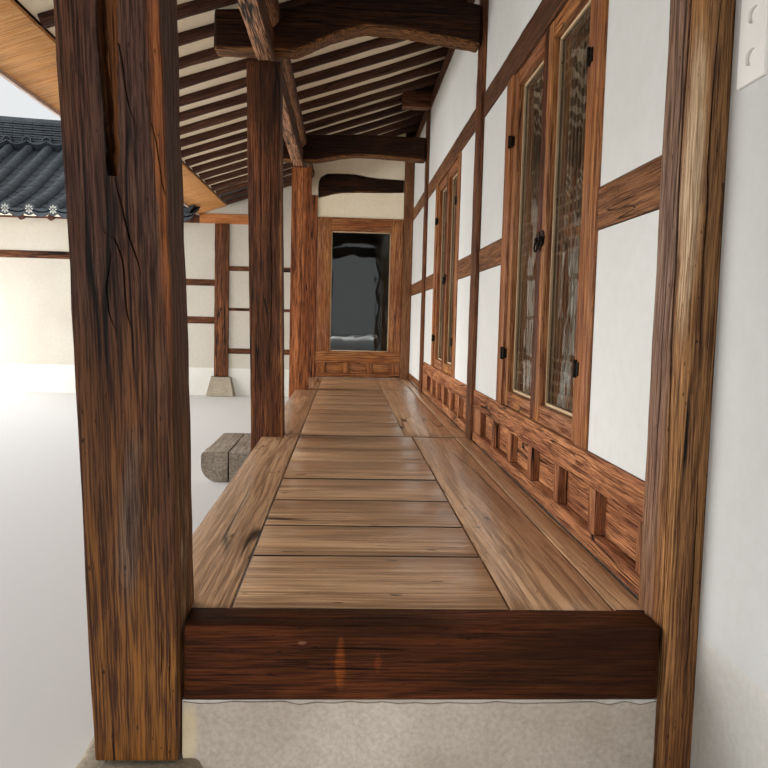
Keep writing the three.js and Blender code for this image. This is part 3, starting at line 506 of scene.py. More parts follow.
class Effects:
    """Shader node groups that several finishes share."""

    def __init__(self) -> None:
        """Build each group once."""
        self.timber = self.build_timber()
        self.mottle = self.build_mottle()
        self.stain = self.build_stain()

    @staticmethod
    def build_timber() -> bpy.types.NodeTree:
        """Growth rings, fibres, bands, patches, specks and drying cracks of a timber.

        Returns:
            The node group.
        """
        inputs = {
            "Grain": ("Vector", 0.0),
            "Ring Spacing": ("Float", 0.006),
            "Wander": ("Float", 0.03),
            "Crack Width": ("Float", 0.03),
        }
        names = ("Rings", "Fibre", "Bands", "Streaks", "Patches", "Specks", "Cracks", "Height")
        tree, sheet, start = new_group("timber_grain", inputs, names)
        grain = start.outputs["Grain"]
        place = sheet.stretch(grain, (3, 3, 0.7))
        drift = sheet.node("TexNoise", {"Vector": place, "Scale": 1.0, "Detail": 3.0})
        drift = sheet.vector("SUBTRACT", drift.outputs["Color"], (0.5, 0.5, 0.5))
        bent = sheet.vector("ADD", grain, sheet.vector("SCALE", drift, start.outputs["Wander"]))
        scale = sheet.math("DIVIDE", math.tau / 20, start.outputs["Ring Spacing"])
        wave = sheet.node("TexWave", {"Vector": bent, "Scale": scale}, wave_type="RINGS", wave_profile="SAW",
                          rings_direction="Z")
        gate = sheet.remap(sheet.noise(sheet.stretch(grain, (1, 1, 0.4)), 5, 1), 0.42, 0.6, 0.15, 1.0)
        rings = sheet.math("SUBTRACT", sheet.math("POWER", wave.outputs["Fac"], 1.5), 0.45)
        rings = sheet.math("ADD", sheet.math("MULTIPLY", rings, gate), 0.45)
        coarse = sheet.noise(sheet.stretch(bent, (1, 1, 0.025)), 210, 3, 0.6)
        fine = sheet.noise(sheet.stretch(grain, (1, 1, 0.02)), 560, 2, 0.6)
        fibre = sheet.math("ADD", sheet.math("MULTIPLY", coarse, 0.65), sheet.math("MULTIPLY", fine, 0.35))
        fibre = sheet.remap(fibre, 0.41, 0.59)
        bands = sheet.streaks(bent, 0.035, 55, 3, 0.38, 0.62)
        streaks = sheet.streaks(grain, 0.09, 9, 4, 0.38, 0.62)
        patches = sheet.streaks(grain, 0.3, 5, 4, 0.45, 0.62)
        specks = sheet.remap(sheet.noise(sheet.stretch(grain, (1, 1, 0.3)), 120, 1), 0.72, 0.77)
        line = sheet.noise(sheet.stretch(bent, (1, 1, 0.05)), 16, 2, 0.5)
        line = sheet.math("ABSOLUTE", sheet.math("SUBTRACT", line, 0.5))
        line = sheet.math("SUBTRACT", 1.0, sheet.math("DIVIDE", line, start.outputs["Crack Width"]))
        gate = sheet.remap(sheet.noise(sheet.stretch(grain, (1, 1, 0.2)), 6, 1), 0.52, 0.6)
        line = sheet.math("MULTIPLY", sheet.math("MAXIMUM", line, 0.0), gate)
        cracks = sheet.remap(line, 0.1, 0.75)
        height = sheet.math("ADD", sheet.math("MULTIPLY", rings, 0.3), sheet.math("MULTIPLY", fibre, 0.6))
        height = sheet.math("ADD", height, sheet.math("MULTIPLY", bands, 0.3))
        height = sheet.math("SUBTRACT", height, sheet.math("MULTIPLY", cracks, 1.6))
        results = (rings, fibre, bands, streaks, patches, specks, cracks, height)
        sheet.node("NodeGroupOutput", dict(zip(names, results)))
        return tree

    @staticmethod
    def build_stain() -> bpy.types.NodeTree:
        """A ragged patch around a place.

        Returns:
            The node group.
        """
        inputs = {
            "Vector": ("Vector", 0.0),
            "Centre": ("Vector", 0.0),
            "Size": ("Vector", 0.0),
            "Lean": ("Float", 0.0),
        }
        tree, sheet, start = new_group("stain", inputs, ("Mask",))
        place = start.outputs["Vector"]
        offset = sheet.vector("SUBTRACT", place, start.outputs["Centre"])
        x, y, z = sheet.node("SeparateXYZ", {0: offset}).outputs
        y = sheet.math("SUBTRACT", y, sheet.math("MULTIPLY", z, start.outputs["Lean"]))
        offset = sheet.node("CombineXYZ", {0: x, 1: y, 2: z}).outputs[0]
        share = sheet.vector("DIVIDE", offset, start.outputs["Size"])
        length = sheet.node("VectorMath", {0: share}, operation="LENGTH").outputs["Value"]
        ragged = sheet.math("SUBTRACT", sheet.noise(sheet.stretch(place, (1, 1, 0.3)), 38, 4, 0.65), 0.5)
        sheet.node("NodeGroupOutput", {"Mask": sheet.remap(sheet.math("ADD", length, ragged), 1.1, 0.6)})
        return tree

    @staticmethod
    def build_mottle() -> bpy.types.NodeTree:
        """Cloudy patches, fine spots and the unevenness of plaster, stone and clay.

        Returns:
            The node group.
        """
        names = ("Patches", "Spots", "Height")
        tree, sheet, start = new_group("mottle", {"Vector": ("Vector", 0.0), "Size": ("Float", 1.0)}, names)
        share = sheet.math("DIVIDE", 1.0, start.outputs["Size"])
        place = sheet.vector("SCALE", start.outputs["Vector"], share)
        patches = sheet.remap(sheet.noise(place, 1.3, 4, 0.55), 0.3, 0.7)
        spots = sheet.remap(sheet.noise(place, 26, 4, 0.65), 0.35, 0.7)
        grit = sheet.noise(place, 130, 2, 0.6)
        height = sheet.math("MULTIPLY", sheet.noise(place, 5, 3, 0.5), 1.6)
        height = sheet.math("ADD", height, sheet.math("MULTIPLY", spots, 0.4))
        height = sheet.math("ADD", height, sheet.math("MULTIPLY", grit, 0.25))
        sheet.node("NodeGroupOutput", dict(zip(names, (patches, spots, height))))
        return tree


@dataclass(frozen=True)
class StainAndShade:
    """A patch of other tones around a place: its centre, half sizes and lean, in metres. Some are the
    material's own stains and sapwood, others are painted shade and painted light.
    """

    centre: tuple[float, float, float]
    size: tuple[float, float, float]
    tint: str
    shade: str = ""
    strength: float = 0.7
    lean: float = 0.0

    def lay(self, sheet: Sheet, effects: Effects, colour: Socket, lines: object = 1.0) -> Socket:
        """Lay the patch over a colour.

        Args:
            sheet: The material's nodes.
            effects: The shared node groups.
            colour: The colour so far.
            lines: Where the patch's lighter tone shows.

        Returns:
            The new colour.
        """
        place = sheet.node("TexCoord").outputs["Object"]
        values = {"Vector": place, "Centre": self.centre, "Size": self.size, "Lean": self.lean}
        mask = sheet.node("Group", values, node_tree=effects.stain).outputs["Mask"]
        tones = sheet.mix(lines, self.shade or self.tint, self.tint)
        return sheet.mix(sheet.math("MULTIPLY", mask, self.strength), colour, tones)


@dataclass(frozen=True)
class TimberFinish:
    """Oiled or weathered wood: its tones, gloss and relief, with painted light on undersides and feet and
    painted shade in joints.
    """

    name: str
    valley: str
    ridge: str
    streak: str
    roughness: float = 0.55
    specular: float = 0.25
    coat: float = 0.0
    rings: float = 0.006
    wander: float = 0.035
    cracks: float = 0.03
    relief: float = 0.003
    contrast: float = 1.0
    figure: float = 0.2
    coarse: float = 1.0
    gloss: float = 0.22
    patch: str = ""
    # Tone of faces that look down: painted light thrown up onto undersides.
    underside: str = ""
    # Tone towards a post's foot: a painted warm glow near the floor.
    foot: str = ""
    # Tone of faces that look along X, the board ends: dirt in the joints and painted shade in the gaps.
    seam: str = ""
    stains: tuple[StainAndShade, ...] = ()

    def build(self, effects: Effects) -> bpy.types.Material:
        """Make the material.

        Args:
            effects: The shared node groups.

        Returns:
            The material.
        """
        material, sheet, shader = new_material(self.name)
        grain = sheet.node("Attribute", attribute_name="grain").outputs["Vector"]
        grain = sheet.stretch(grain, [1 / self.coarse] * 3)
        width = max(self.cracks, 0.0005)
        values = {"Grain": grain, "Ring Spacing": self.rings, "Wander": self.wander, "Crack Width": width}
        wood = sheet.node("Group", values, node_tree=effects.timber).outputs
        parts = (("Rings", self.figure), ("Fibre", 0.62 - self.figure / 2), ("Bands", 0.38 - self.figure / 2))
        lines = 0.0
        for key, weight in parts:
            lines = sheet.math("ADD", sheet.math("MULTIPLY", wood[key], weight), lines)
        lines = sheet.remap(lines, 0.5 - 0.5 / (1 + self.contrast), 0.5 + 0.5 / (1 + self.contrast))
        colour = sheet.mix(lines, self.valley, self.ridge)
        patch = sheet.math("MULTIPLY", wood["Streaks"], 0.75)
        colour = sheet.mix(patch, colour, sheet.mix(lines, self.valley, self.streak))
        if self.patch:
            patch = sheet.math("MULTIPLY", wood["Patches"], 0.6)
            colour = sheet.mix(patch, colour, sheet.mix(lines, self.valley, self.patch))
        normal = sheet.node("SeparateXYZ", {0: sheet.node("NewGeometry").outputs["Normal"]}).outputs
        # Faces that look down turn towards the underside tone: painted light from below.
        if self.underside:
            below = sheet.math("MULTIPLY", sheet.remap(normal[2], -0.35, -0.75), 0.85)
            colour = sheet.mix(below, colour, sheet.mix(lines, self.valley, self.underside))
        # Lower parts turn towards the foot tone: a painted warm glow near the floor.
        if self.foot:
            place = sheet.node("TexCoord").outputs["Object"]
            height = sheet.node("SeparateXYZ", {0: place}).outputs[2]
            foot = sheet.remap(height, 1.2, 0.3, 0.0, 0.8)
            colour = sheet.mix(foot, colour, sheet.mix(lines, self.streak, self.foot))
        for stain in self.stains:
            colour = stain.lay(sheet, effects, colour, lines)
        # Faces that look along X darken: dirt in the joints and painted shade in the gaps.
        if self.seam:
            side = sheet.remap(sheet.math("ABSOLUTE", normal[0]), 0.12, 0.5)
            colour = sheet.mix(side, colour, self.seam)
        colour = sheet.mix(sheet.math("MULTIPLY", wood["Specks"], 0.8), colour, "140a06")
        colour = sheet.mix(wood["Cracks"], colour, "0d0705")
        gloss = sheet.remap(wood["Fibre"], 0.0, 1.0, self.roughness + 0.1, self.roughness - 0.08)
        bump = sheet.node("Bump", {"Height": wood["Height"], "Distance": self.relief, "Strength": 0.7})
        sheet.feed(shader, {
            "Base Color": colour, "Roughness": gloss, "Specular IOR Level": self.specular,
            "Coat Weight": self.coat, "Coat Roughness": self.gloss, "Normal": bump.outputs[0],
        })
        return material


@dataclass(frozen=True)
class MineralFinish:
    """Plaster, stone or fired clay: two tones in patches, with fine spots."""

    name: str
    light: str
    dark: str
    spot: str
    size: float = 1.0
    spotting: float = 0.3
    roughness: float = 0.9
    relief: float = 0.002
    stains: tuple[StainAndShade, ...] = ()

    def build(self, effects: Effects) -> bpy.types.Material:
        """Make the material.

        Args:
            effects: The shared node groups.

        Returns:
            The material.
        """
        material, sheet, shader = new_material(self.name)
        place = sheet.node("TexCoord").outputs["Object"]
        cloudy = sheet.node("Group", {"Vector": place, "Size": self.size}, node_tree=effects.mottle)
        colour = sheet.mix(cloudy.outputs["Patches"], self.dark, self.light)
        spots = sheet.math("MULTIPLY", cloudy.outputs["Spots"], self.spotting)
        colour = sheet.mix(spots, colour, self.spot)
        for stain in self.stains:
            colour = stain.lay(sheet, effects, colour, cloudy.outputs["Patches"])
        height = cloudy.outputs["Height"]
        bump = sheet.node("Bump", {"Height": height, "Distance": self.relief, "Strength": 0.6})
        sheet.feed(shader, {"Base Color": colour, "Roughness": self.roughness, "Normal": bump.outputs[0]})
        return material


@dataclass(frozen=True)
class GlassFinish:
    """Clear glass with a faint tint and slightly wavy faces."""

    name: str
    tint: str = "dfe8e6"
    waves: float = 0.004
    specular: float = 0.5

    def build(self, effects: Effects) -> bpy.types.Material:
        """Make the material."""
        material, sheet, shader = new_material(self.name)
        place = sheet.node("TexCoord").outputs["Object"]
        waves = sheet.noise(sheet.stretch(place, (1, 1, 0.55)), 7, 1)
        bump = sheet.node("Bump", {"Height": waves, "Distance": self.waves, "Strength": 1.0})
        sheet.feed(shader, {"Base Color": self.tint, "Roughness": 0.02, "Metallic": 0.0,
                            "Transmission Weight": 1.0, "IOR": 1.5, "Specular IOR Level": self.specular,
                            "Normal": bump.outputs[0]})
        return material


@dataclass(frozen=True)
class IronFinish:
    """Blackened iron with a little rust."""

    name: str
    dark: str = "17140f"
    rust: str = "4a2f1f"

    def build(self, effects: Effects) -> bpy.types.Material:
        """Make the material."""
        material, sheet, shader = new_material(self.name)
        place = sheet.node("TexCoord").outputs["Object"]
        rust = sheet.remap(sheet.noise(place, 90, 4, 0.6), 0.5, 0.75)
        sheet.feed(shader, {"Base Color": sheet.mix(rust, self.dark, self.rust),
                            "Roughness": sheet.remap(rust, 0, 1, 0.4, 0.8), "Metallic": 0.7})
        return material


def new_material(name: str) -> tuple[bpy.types.Material, Sheet, bpy.types.Node]:
    """Start a material.

    Args:
        name: The material's name.

    Returns:
        The material, its sheet of nodes and its main shader.
    """
    material = bpy.data.materials.new(name)
    material.use_nodes = True
    sheet = Sheet(material.node_tree)
    shader = sheet.node("BsdfPrincipled")
    sheet.node("OutputMaterial", {0: shader.outputs[0]})
    return material, sheet, shader


class Palette:
    """All finishes of the house, each made when it is first asked for."""

    FINISHES = (
        # The orange towards this post's foot is a painted warm glow.
        TimberFinish("post_timber", "27150d", "6c442f", "412618", cracks=0.035, foot="8f5c27", patch="544038",
                     stains=(
            StainAndShade((4.79, 0.368, 1.5), (0.03, 0.024, 0.62), "96582c", "5a2e16", 0.75, -0.06),
            StainAndShade((4.69, 0.414, 1.15), (0.16, 0.018, 0.8), "e2ccae", "9a7452", 0.9),
            # Inside the slot: dark torn wood, darkened further with painted shade.
            StainAndShade((4.72, 0.24, 1.8), (0.052, 0.05, 0.7), "7a4c2c", "24120a", 1.0, -0.03),
            StainAndShade((4.79, 0.29, 0.66), (0.03, 0.03, 0.24), "6a625c", "3c322c", 0.45, 0.04),
            StainAndShade((4.79, 0.375, 0.68), (0.03, 0.03, 0.2), "402420", "241210", 0.6),
            StainAndShade((4.79, 0.243, 1.5), (0.03, 0.035, 0.6), "33201a", "190e0a", 0.5, -0.05),
        )),
        # The orange towards this post's foot is a painted warm glow.
        TimberFinish("grey_post_timber", "3a2218", "9a7454", "5a3825", cracks=0.045, foot="8c5a2e",
                     relief=0.004, patch="7d6553", stains=(
            StainAndShade((4.765, 1.6, 1.3), (0.055, 0.036, 1.7), "b48250", "5c3a20", 0.8),
            StainAndShade((4.765, 1.598, 1.5), (0.05, 0.03, 0.38), "d8c0a0", "947654", 0.75),
            StainAndShade((4.79, 1.66, 1.2), (0.03, 0.045, 1.3), "94693f", "50331c", 0.75),
            StainAndShade((4.64, 1.598, 1.3), (0.07, 0.02, 1.1), "a58878", "604638", 0.5),
        )),
        TimberFinish("inner_post_timber", "2f160e", "8b5532", "56331e", cracks=0.03, patch="593d2c",
                     stains=(
            StainAndShade((1.73, 0.402, 1.1), (0.05, 0.022, 1.2), "c08c58", "7a5030", 0.8, -0.02),
            StainAndShade((1.73, 0.3, 2.65), (0.05, 0.16, 0.5), "2c1810", "120a06", 0.75),
            StainAndShade((1.73, 0.29, 1.2), (0.05, 0.055, 0.7), "4a2a1a", "201009", 0.55),
        )),
        TimberFinish("red_post_timber", "4c2713", "c37a4b", "824522", cracks=0.03, contrast=1.2),
        # The underside tones of the beams and purlins are painted light from below.
        TimberFinish("beam_timber", "160a05", "432614", "22110a", underside="a06c3c",
                     cracks=0.025, specular=0.15),
        TimberFinish("purlin_timber", "2f190f", "825134", "4a2a19", underside="dca57c", cracks=0.03),
        TimberFinish("rafter_timber", "2c170e", "64402c", "412519", cracks=0.02, rings=0.02),
        TimberFinish("window_timber", "5c3018", "c08650", "965226", roughness=0.45, coat=0.15, cracks=0.01,
                     patch="a5765c", stains=(
            # Dark strips at both windows' meeting stiles: painted shadow in the gap between the leaves.
            StainAndShade((3.2, 1.63, 1.55), (0.06, 0.05, 1.5), "5a2c1c", "1e100a", 0.95),
            StainAndShade((-0.03, 1.63, 1.55), (0.06, 0.05, 1.5), "5a2c1c", "1e100a", 0.95),
        )),
        TimberFinish("dado_timber", "572e1d", "ca8c5e", "874d34", roughness=0.5, cracks=0.02, relief=0.004,
                     wander=0.08, contrast=0.8),
        TimberFinish("rail_timber", "4c2c1b", "9c6c48", "6b4028", cracks=0.006,
                     relief=0.0035, contrast=0.7, stains=(
            # Painted shade along the head rails under the eave.
            StainAndShade((2.6, 1.62, 2.5), (3.2, 0.1, 0.14), "4e3020", "26150d", 0.65),
        )),
        TimberFinish("sill_timber", "2a150b", "66361c", "44230f", cracks=0.03, roughness=0.5, specular=0.12,
                     figure=0.12, contrast=0.45, patch="241008", stains=(
            StainAndShade((4.77, 0.793, 0.305), (0.04, 0.014, 0.07), "94501f", "4a220e", 0.75),
            StainAndShade((4.77, 0.887, 0.31), (0.04, 0.01, 0.025), "8a4526", "4a2010", 0.6),
            StainAndShade((4.77, 0.7, 0.36), (0.04, 0.012, 0.006), "9a7058", "6a4030", 0.5),
        )),
        # Its seam tone darkens the board ends: dirt in the joints and painted shade in the gaps.
        TimberFinish("floor_board", "8c6a4d", "e3ba91", "b78f6a", roughness=0.34, coat=0.9, gloss=0.3,
                     cracks=0.02, relief=0.0014, contrast=1.1, wander=0.06, patch="aa825e", seam="22160e",
                     coarse=3.0),
        TimberFinish("soffit_timber", "c9884b", "f4be7d", "e2a461", roughness=0.5, cracks=0.004, contrast=0.8,
                     relief=0.001),
        TimberFinish("fascia_timber", "bfa89c", "d8c6bb", "c9b3a6", cracks=0.01, contrast=0.5),
        TimberFinish("board_timber", "9a5f35", "c98c58", "ad6f40", cracks=0.01),
        TimberFinish("step_timber", "6e6154", "bcb1a2", "988c7e", roughness=0.8, cracks=0.0, relief=0.003,
                     contrast=0.6),
        TimberFinish("bead_timber", "a88c6c", "d0b794", "bda27f", cracks=0.0, contrast=0.4, relief=0.0008),
        # Pale lattice wood, lightened further as painted light for the daylight that the glass keeps from it.
        TimberFinish("lattice_timber", "c4987c", "facfaf", "ddb193", cracks=0.0, contrast=0.4, relief=0.0008),
        # Dark sheet behind the lattice: painted shade of the dim screen and room behind the window.
        TimberFinish("screen_timber", "362519", "554030", "453223", cracks=0.0, contrast=0.5, relief=0.0008),
        MineralFinish("white_plaster", "d3d3cf", "c8c7c2", "bcbab1", size=1.2, spotting=0.25, relief=0.0018),
        MineralFinish("aged_plaster", "bdb7ab", "b1aa9d", "a49a8b", size=1.0, spotting=0.3, relief=0.0018),
        # A cooler and darker copy of the white plaster for the near bay's wall; its darkness is painted
        # shade.
        MineralFinish("near_plaster", "cececb", "c5c5c0", "b7b7b1", size=1.2, spotting=0.25, relief=0.0018),
        MineralFinish("cream_plaster", "f7ecd4", "eadabc", "d7c39d", size=0.8, spotting=0.3, relief=0.003),
        MineralFinish("base_plaster", "d3d2cc", "cac6be", "b7b1a4", size=0.5, spotting=0.35,
                      relief=0.004, stains=(
            StainAndShade((4.7, 1.0, 0.1), (0.3, 0.7, 0.4), "c3b9ae", "a89d90", 0.9),
            StainAndShade((4.7, 0.43, 0.12), (0.3, 0.04, 0.09), "d9cbb0", "c2b08e", 0.8),
        )),
        MineralFinish("panel_plaster", "c4baae", "ab9f92", "8d8173", size=0.35, spotting=0.5,
                      relief=0.004, stains=(
            StainAndShade((4.75, 0.42, 0.12), (0.3, 0.03, 0.1), "dccdb0", "c0ae8a", 0.85),
        )),
        MineralFinish("granite", "b3a894", "958a78", "6f6557", size=0.4, spotting=0.6, relief=0.006),
        MineralFinish("roof_clay", "3c4248", "24282d", "565b5e", size=0.6, spotting=0.45, roughness=0.62,
                      relief=0.002),
        MineralFinish("pale_clay", "b9b8ae", "9b9b93", "7d7e78", size=0.2, spotting=0.4, roughness=0.8),
        MineralFinish("socket_plate", "eceae4", "e6e3dc", "dcd8d0", size=1.0, spotting=0.1, roughness=0.4,
                      relief=0.0001),
        GlassFinish("window_glass", specular=0.9),
        GlassFinish("far_pane", waves=0.0005, specular=0.3),
        IronFinish("black_iron"),
    )

    def __init__(self) -> None:
        """Build the shared effects."""
        self.effects = Effects()
        self.recipes = {finish.name: finish for finish in self.FINISHES}
        self.made: dict[str, bpy.types.Material] = {}

    def __getitem__(self, name: str) -> bpy.types.Material:
        """The finish of this name."""
        if name not in self.made:
            self.made[name] = self.recipes[name].build(self.effects)
        return self.made[name]

    def dress(self, node: str, name: str) -> None:
        """Give a CAD node that stays a better finish."""
        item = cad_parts[node]
        item.data.materials.clear()
        item.data.materials.append(self[name])


# The house

@dataclass
class Part:
    """A sub-assembly with its finishes and its own source of random draws."""

    palette: Palette
    seed: int = 0

    def __post_init__(self) -> None:
        """Start the random draws."""
        self.rng = random.Random(self.seed)

    def cut(self, x: Sequence[float], y: Sequence[float], z: Sequence[float], along: Axis,
            hewing: Hewing = PLANED, sawn: Sawn = Sawn.SLAB) -> Mesh:
        """A timber that fills three ranges, with its grain along an axis."""
        return timber(Box.span(x, y, z), along, self.rng, hewing, sawn)

    def finish(self, pieces: Mesh | Sequence[Mesh], name: str, finish: str, slot: str, *replaces: str,
               angle: float = 35) -> Mesh:
        """Join, name, shade and dress a piece, and hide the CAD nodes that it stands for.

        Args:
            pieces: The finished mesh, or the meshes to join.
            name: The piece's name.
            finish: Name of its finish, or nothing where the mesh already carries its finishes.
            slot: Not used.
            replaces: CAD nodes that it stands for.
            angle: Edges sharper than this many degrees stay sharp.

        Returns:
            The piece.
        """
        item = named(pieces if isinstance(pieces, Mesh) else join(pieces), name)
        if finish:
            item.data.materials.clear()
            item.data.materials.append(self.palette[finish])
        pick(item)
        bpy.ops.object.shade_smooth_by_angle(angle=math.radians(angle))
        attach(item, "root")
        if replaces:
            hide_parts(*replaces)
        LOG.info("%s: %d faces", name, len(item.data.polygons))
        return item


@dataclass(frozen=True)
class Lean:
    """How far a post's outer and inner faces stray towards the courtyard, as (height, way) places."""

    outer: tuple[tuple[float, float], ...]
    inner: tuple[tuple[float, float], ...]

    def ways(self, heights: np.ndarray) -> tuple[np.ndarray, np.ndarray]:
        """Ways of both faces at some heights."""
        outer, inner = (np.interp(heights, *zip(*line)) for line in (self.outer, self.inner))
        return outer, inner

    def bend(self, points: np.ndarray, box: Box) -> np.ndarray:
        """Points of an upright post, moved as it leans."""
        outer, inner = self.ways(points[:, 2])
        points[:, 1] -= inner + (outer - inner) * (box.hi[1] - points[:, 1]) / box.size.y
        return points

    def straighten(self, points: np.ndarray, box: Box) -> np.ndarray:
        """Points of the leaning post, moved back to where they were in the upright one."""
        outer, inner = self.ways(points[:, 2])
        gain = (outer - inner) / box.size.y
        points[:, 1] = (points[:, 1] + inner + gain * box.hi[1]) / (1 + gain)
        return points


@dataclass
class Posts(Part):
    """Squared posts, hewn by hand, with their drying cracks."""

    seed: int = 11
    section: float = 0.205
    finishes: dict[str, str] = field(default_factory=lambda: {
        "post_a": "post_timber",
        "post_b": "inner_post_timber",
        "post_c": "red_post_timber",
        "post_d": "red_post_timber",
        "post_e": "post_timber",
        "wall_post_a": "grey_post_timber",
        "wall_post_b": "inner_post_timber",
        "wall_post_c": "inner_post_timber",
        "wall_post_e": "grey_post_timber",
    })
    plain: tuple[str, ...] = ("back_post_near", "back_post_far", "wing_post_1", "wing_post_2", "wing_post_3")
    leans: dict[str, Lean] = field(default_factory=lambda: {
        "post_a": Lean(((0.068, 0), (0.41, 0.015), (1.15, 0.046), (1.9, 0.085)),
                       ((0.068, 0), (0.41, 0), (1.15, 0.019), (1.9, 0.048))),
        "post_b": Lean(((0.068, 0), (0.41, 0), (2.6, 0.05)), ((0.068, 0), (0.41, 0), (2.6, 0.043))),
    })
    mortise: tuple[tuple[float, float, float], ...] = (
        (1.46, 0.2445, 0.2685), (1.56, 0.237, 0.27), (1.68, 0.229, 0.269), (1.84, 0.22, 0.2677),
        (2.1, 0.21, 0.262),
    )

    def __post_init__(self) -> None:
        """Place the large drying cracks of the posts that stand nearest."""
        super().__post_init__()
        middle = Box.of("post_e").centre.y
        inner = (
            Check(((middle, 2.2), (middle + 0.02, 1.4), (middle + 0.012, 0.7)), 0.007, 0.04),
            Check(((middle - 0.06, 2.4), (middle - 0.05, 1.7)), 0.004, 0.03),
        )
        self.checks = {
            "post_a": (
                Check(((0.262, 1.46), (0.2794, 1.3687), (0.2994, 1.3018), (0.3151, 1.2457)), 0.005, 0.03),
                Check(((0.2323, 1.3336), (0.2591, 1.3209), (0.2702, 1.2919), (0.2769, 1.2673),
                       (0.2878, 1.1653), (0.299, 1.1129)), 0.005, 0.03),
                Check(((0.25, 1.2756), (0.2384, 1.2096), (0.2494, 1.1529), (0.2651, 1.1121)), 0.004, 0.02),
                Check(((0.262, 1.81), (0.292, 1.62), (0.305, 1.585)), 0.0045, 0.025),
                Check(((0.345, 1.58), (0.362, 1.45), (0.375, 1.41)), 0.004, 0.025),
                Check(((0.395, 1.42), (0.398, 0.95), (0.402, 0.62)), 0.005, 0.03),
                Check(((0.366, 0.38), (0.362, 0.3)), 0.004, 0.02),
                Check(((0.382, 0.34), (0.388, 0.24)), 0.004, 0.02),
            ),
            "wall_post_a": (
                Check(((4.725, 2.5), (4.716, 1.93), (4.706, 1.7), (4.708, 1.22), (4.735, 0.75), (4.75, 0.42)),
                      0.013, 0.05, True),
                Check(((4.655, 1.3), (4.66, 0.95), (4.65, 0.6)), 0.006, 0.03, True),
                Check(((1.64, 1.95), (1.632, 1.5), (1.638, 1.1)), 0.005, 0.03),
                Check(((1.65, 0.8), (1.655, 0.5), (1.648, 0.3)), 0.005, 0.03),
            ),
            "post_b": inner,
            "post_c": inner,
        }

    def cut_mortise(self, item: Mesh, face: float) -> None:
        """Cut the long slot with torn edges into the near face of the post by the veranda's end.

        Args:
            item: The post.
            face: Place of its near face along X.
        """
        heights, left, right = zip(*self.mortise)
        slot = block(Box.span((face - 0.08, face + 0.02), (left[0], right[0]), (heights[0], heights[-1])))
        edit(slot, bpy.ops.mesh.subdivide, lambda a, b: abs((a - b).normalized().z) > 0.9, number_cuts=24)
        points = points_of(slot)
        middle = (left[0] + right[0]) / 2
        for point in points:
            side = left if point[1] < middle else right
            point[1] = np.interp(point[2], heights, side) + self.rng.uniform(-0.0035, 0.0035)
        set_points(slot, points)
        carve(item, slot)

    def build(self) -> None:
        """Build and dress every post."""
        for node in (*self.finishes, *self.plain):
            box = Box.of(node)
            lean = self.leans.get(node)
            if lean:
                x, y, z = box.ranges
                box = Box.span(x, (y[1] - self.section, y[1]), z)
            item = timber(box, Axis.Z, self.rng, HEWN, Sawn.HEART)
            if lean:
                set_points(item, lean.bend(points_of(item), box))
            split(item, box, self.checks.get(node, ()))
            if node == "post_a":
                self.cut_mortise(item, box.hi[0])
            self.grain_again(item, box, lean)
            finish = self.finishes.get(node, "inner_post_timber")
            self.finish(item, node + "_hewn", finish, "dark_timber", node)

    def grain_again(self, item: Mesh, box: Box, lean: Lean | None) -> None:
        """Write the grain once more, because cutting adds vertices, and let it follow the lean."""
        points = points_of(item)
        if lean:
            set_points(item, lean.straighten(points.copy(), box))
        write_grain(item, box.centre, Axis.Z, Sawn.HEART, self.rng)
        set_points(item, points)


@dataclass
class Beams(Part):
    """Crooked cross beams and the bent log over the far wall."""

    seed: int = 23
    voxel: float = 0.014

    def build(self) -> None:
        """Build and dress the beams."""
        for node in ("beam_e", "beam_a", "beam_b", "beam_c", "bent_beam"):
            item = recast(node, self.voxel, 0.7, 4)
            roughen(item, 0.008, 0.25)
            roughen(item, 0.0032, 0.05)
            write_grain(item, Box.of(node).centre, Axis.Y, Sawn.HEART, self.rng)
            self.finish(item, node + "_hewn", "beam_timber", "dark_timber", node)


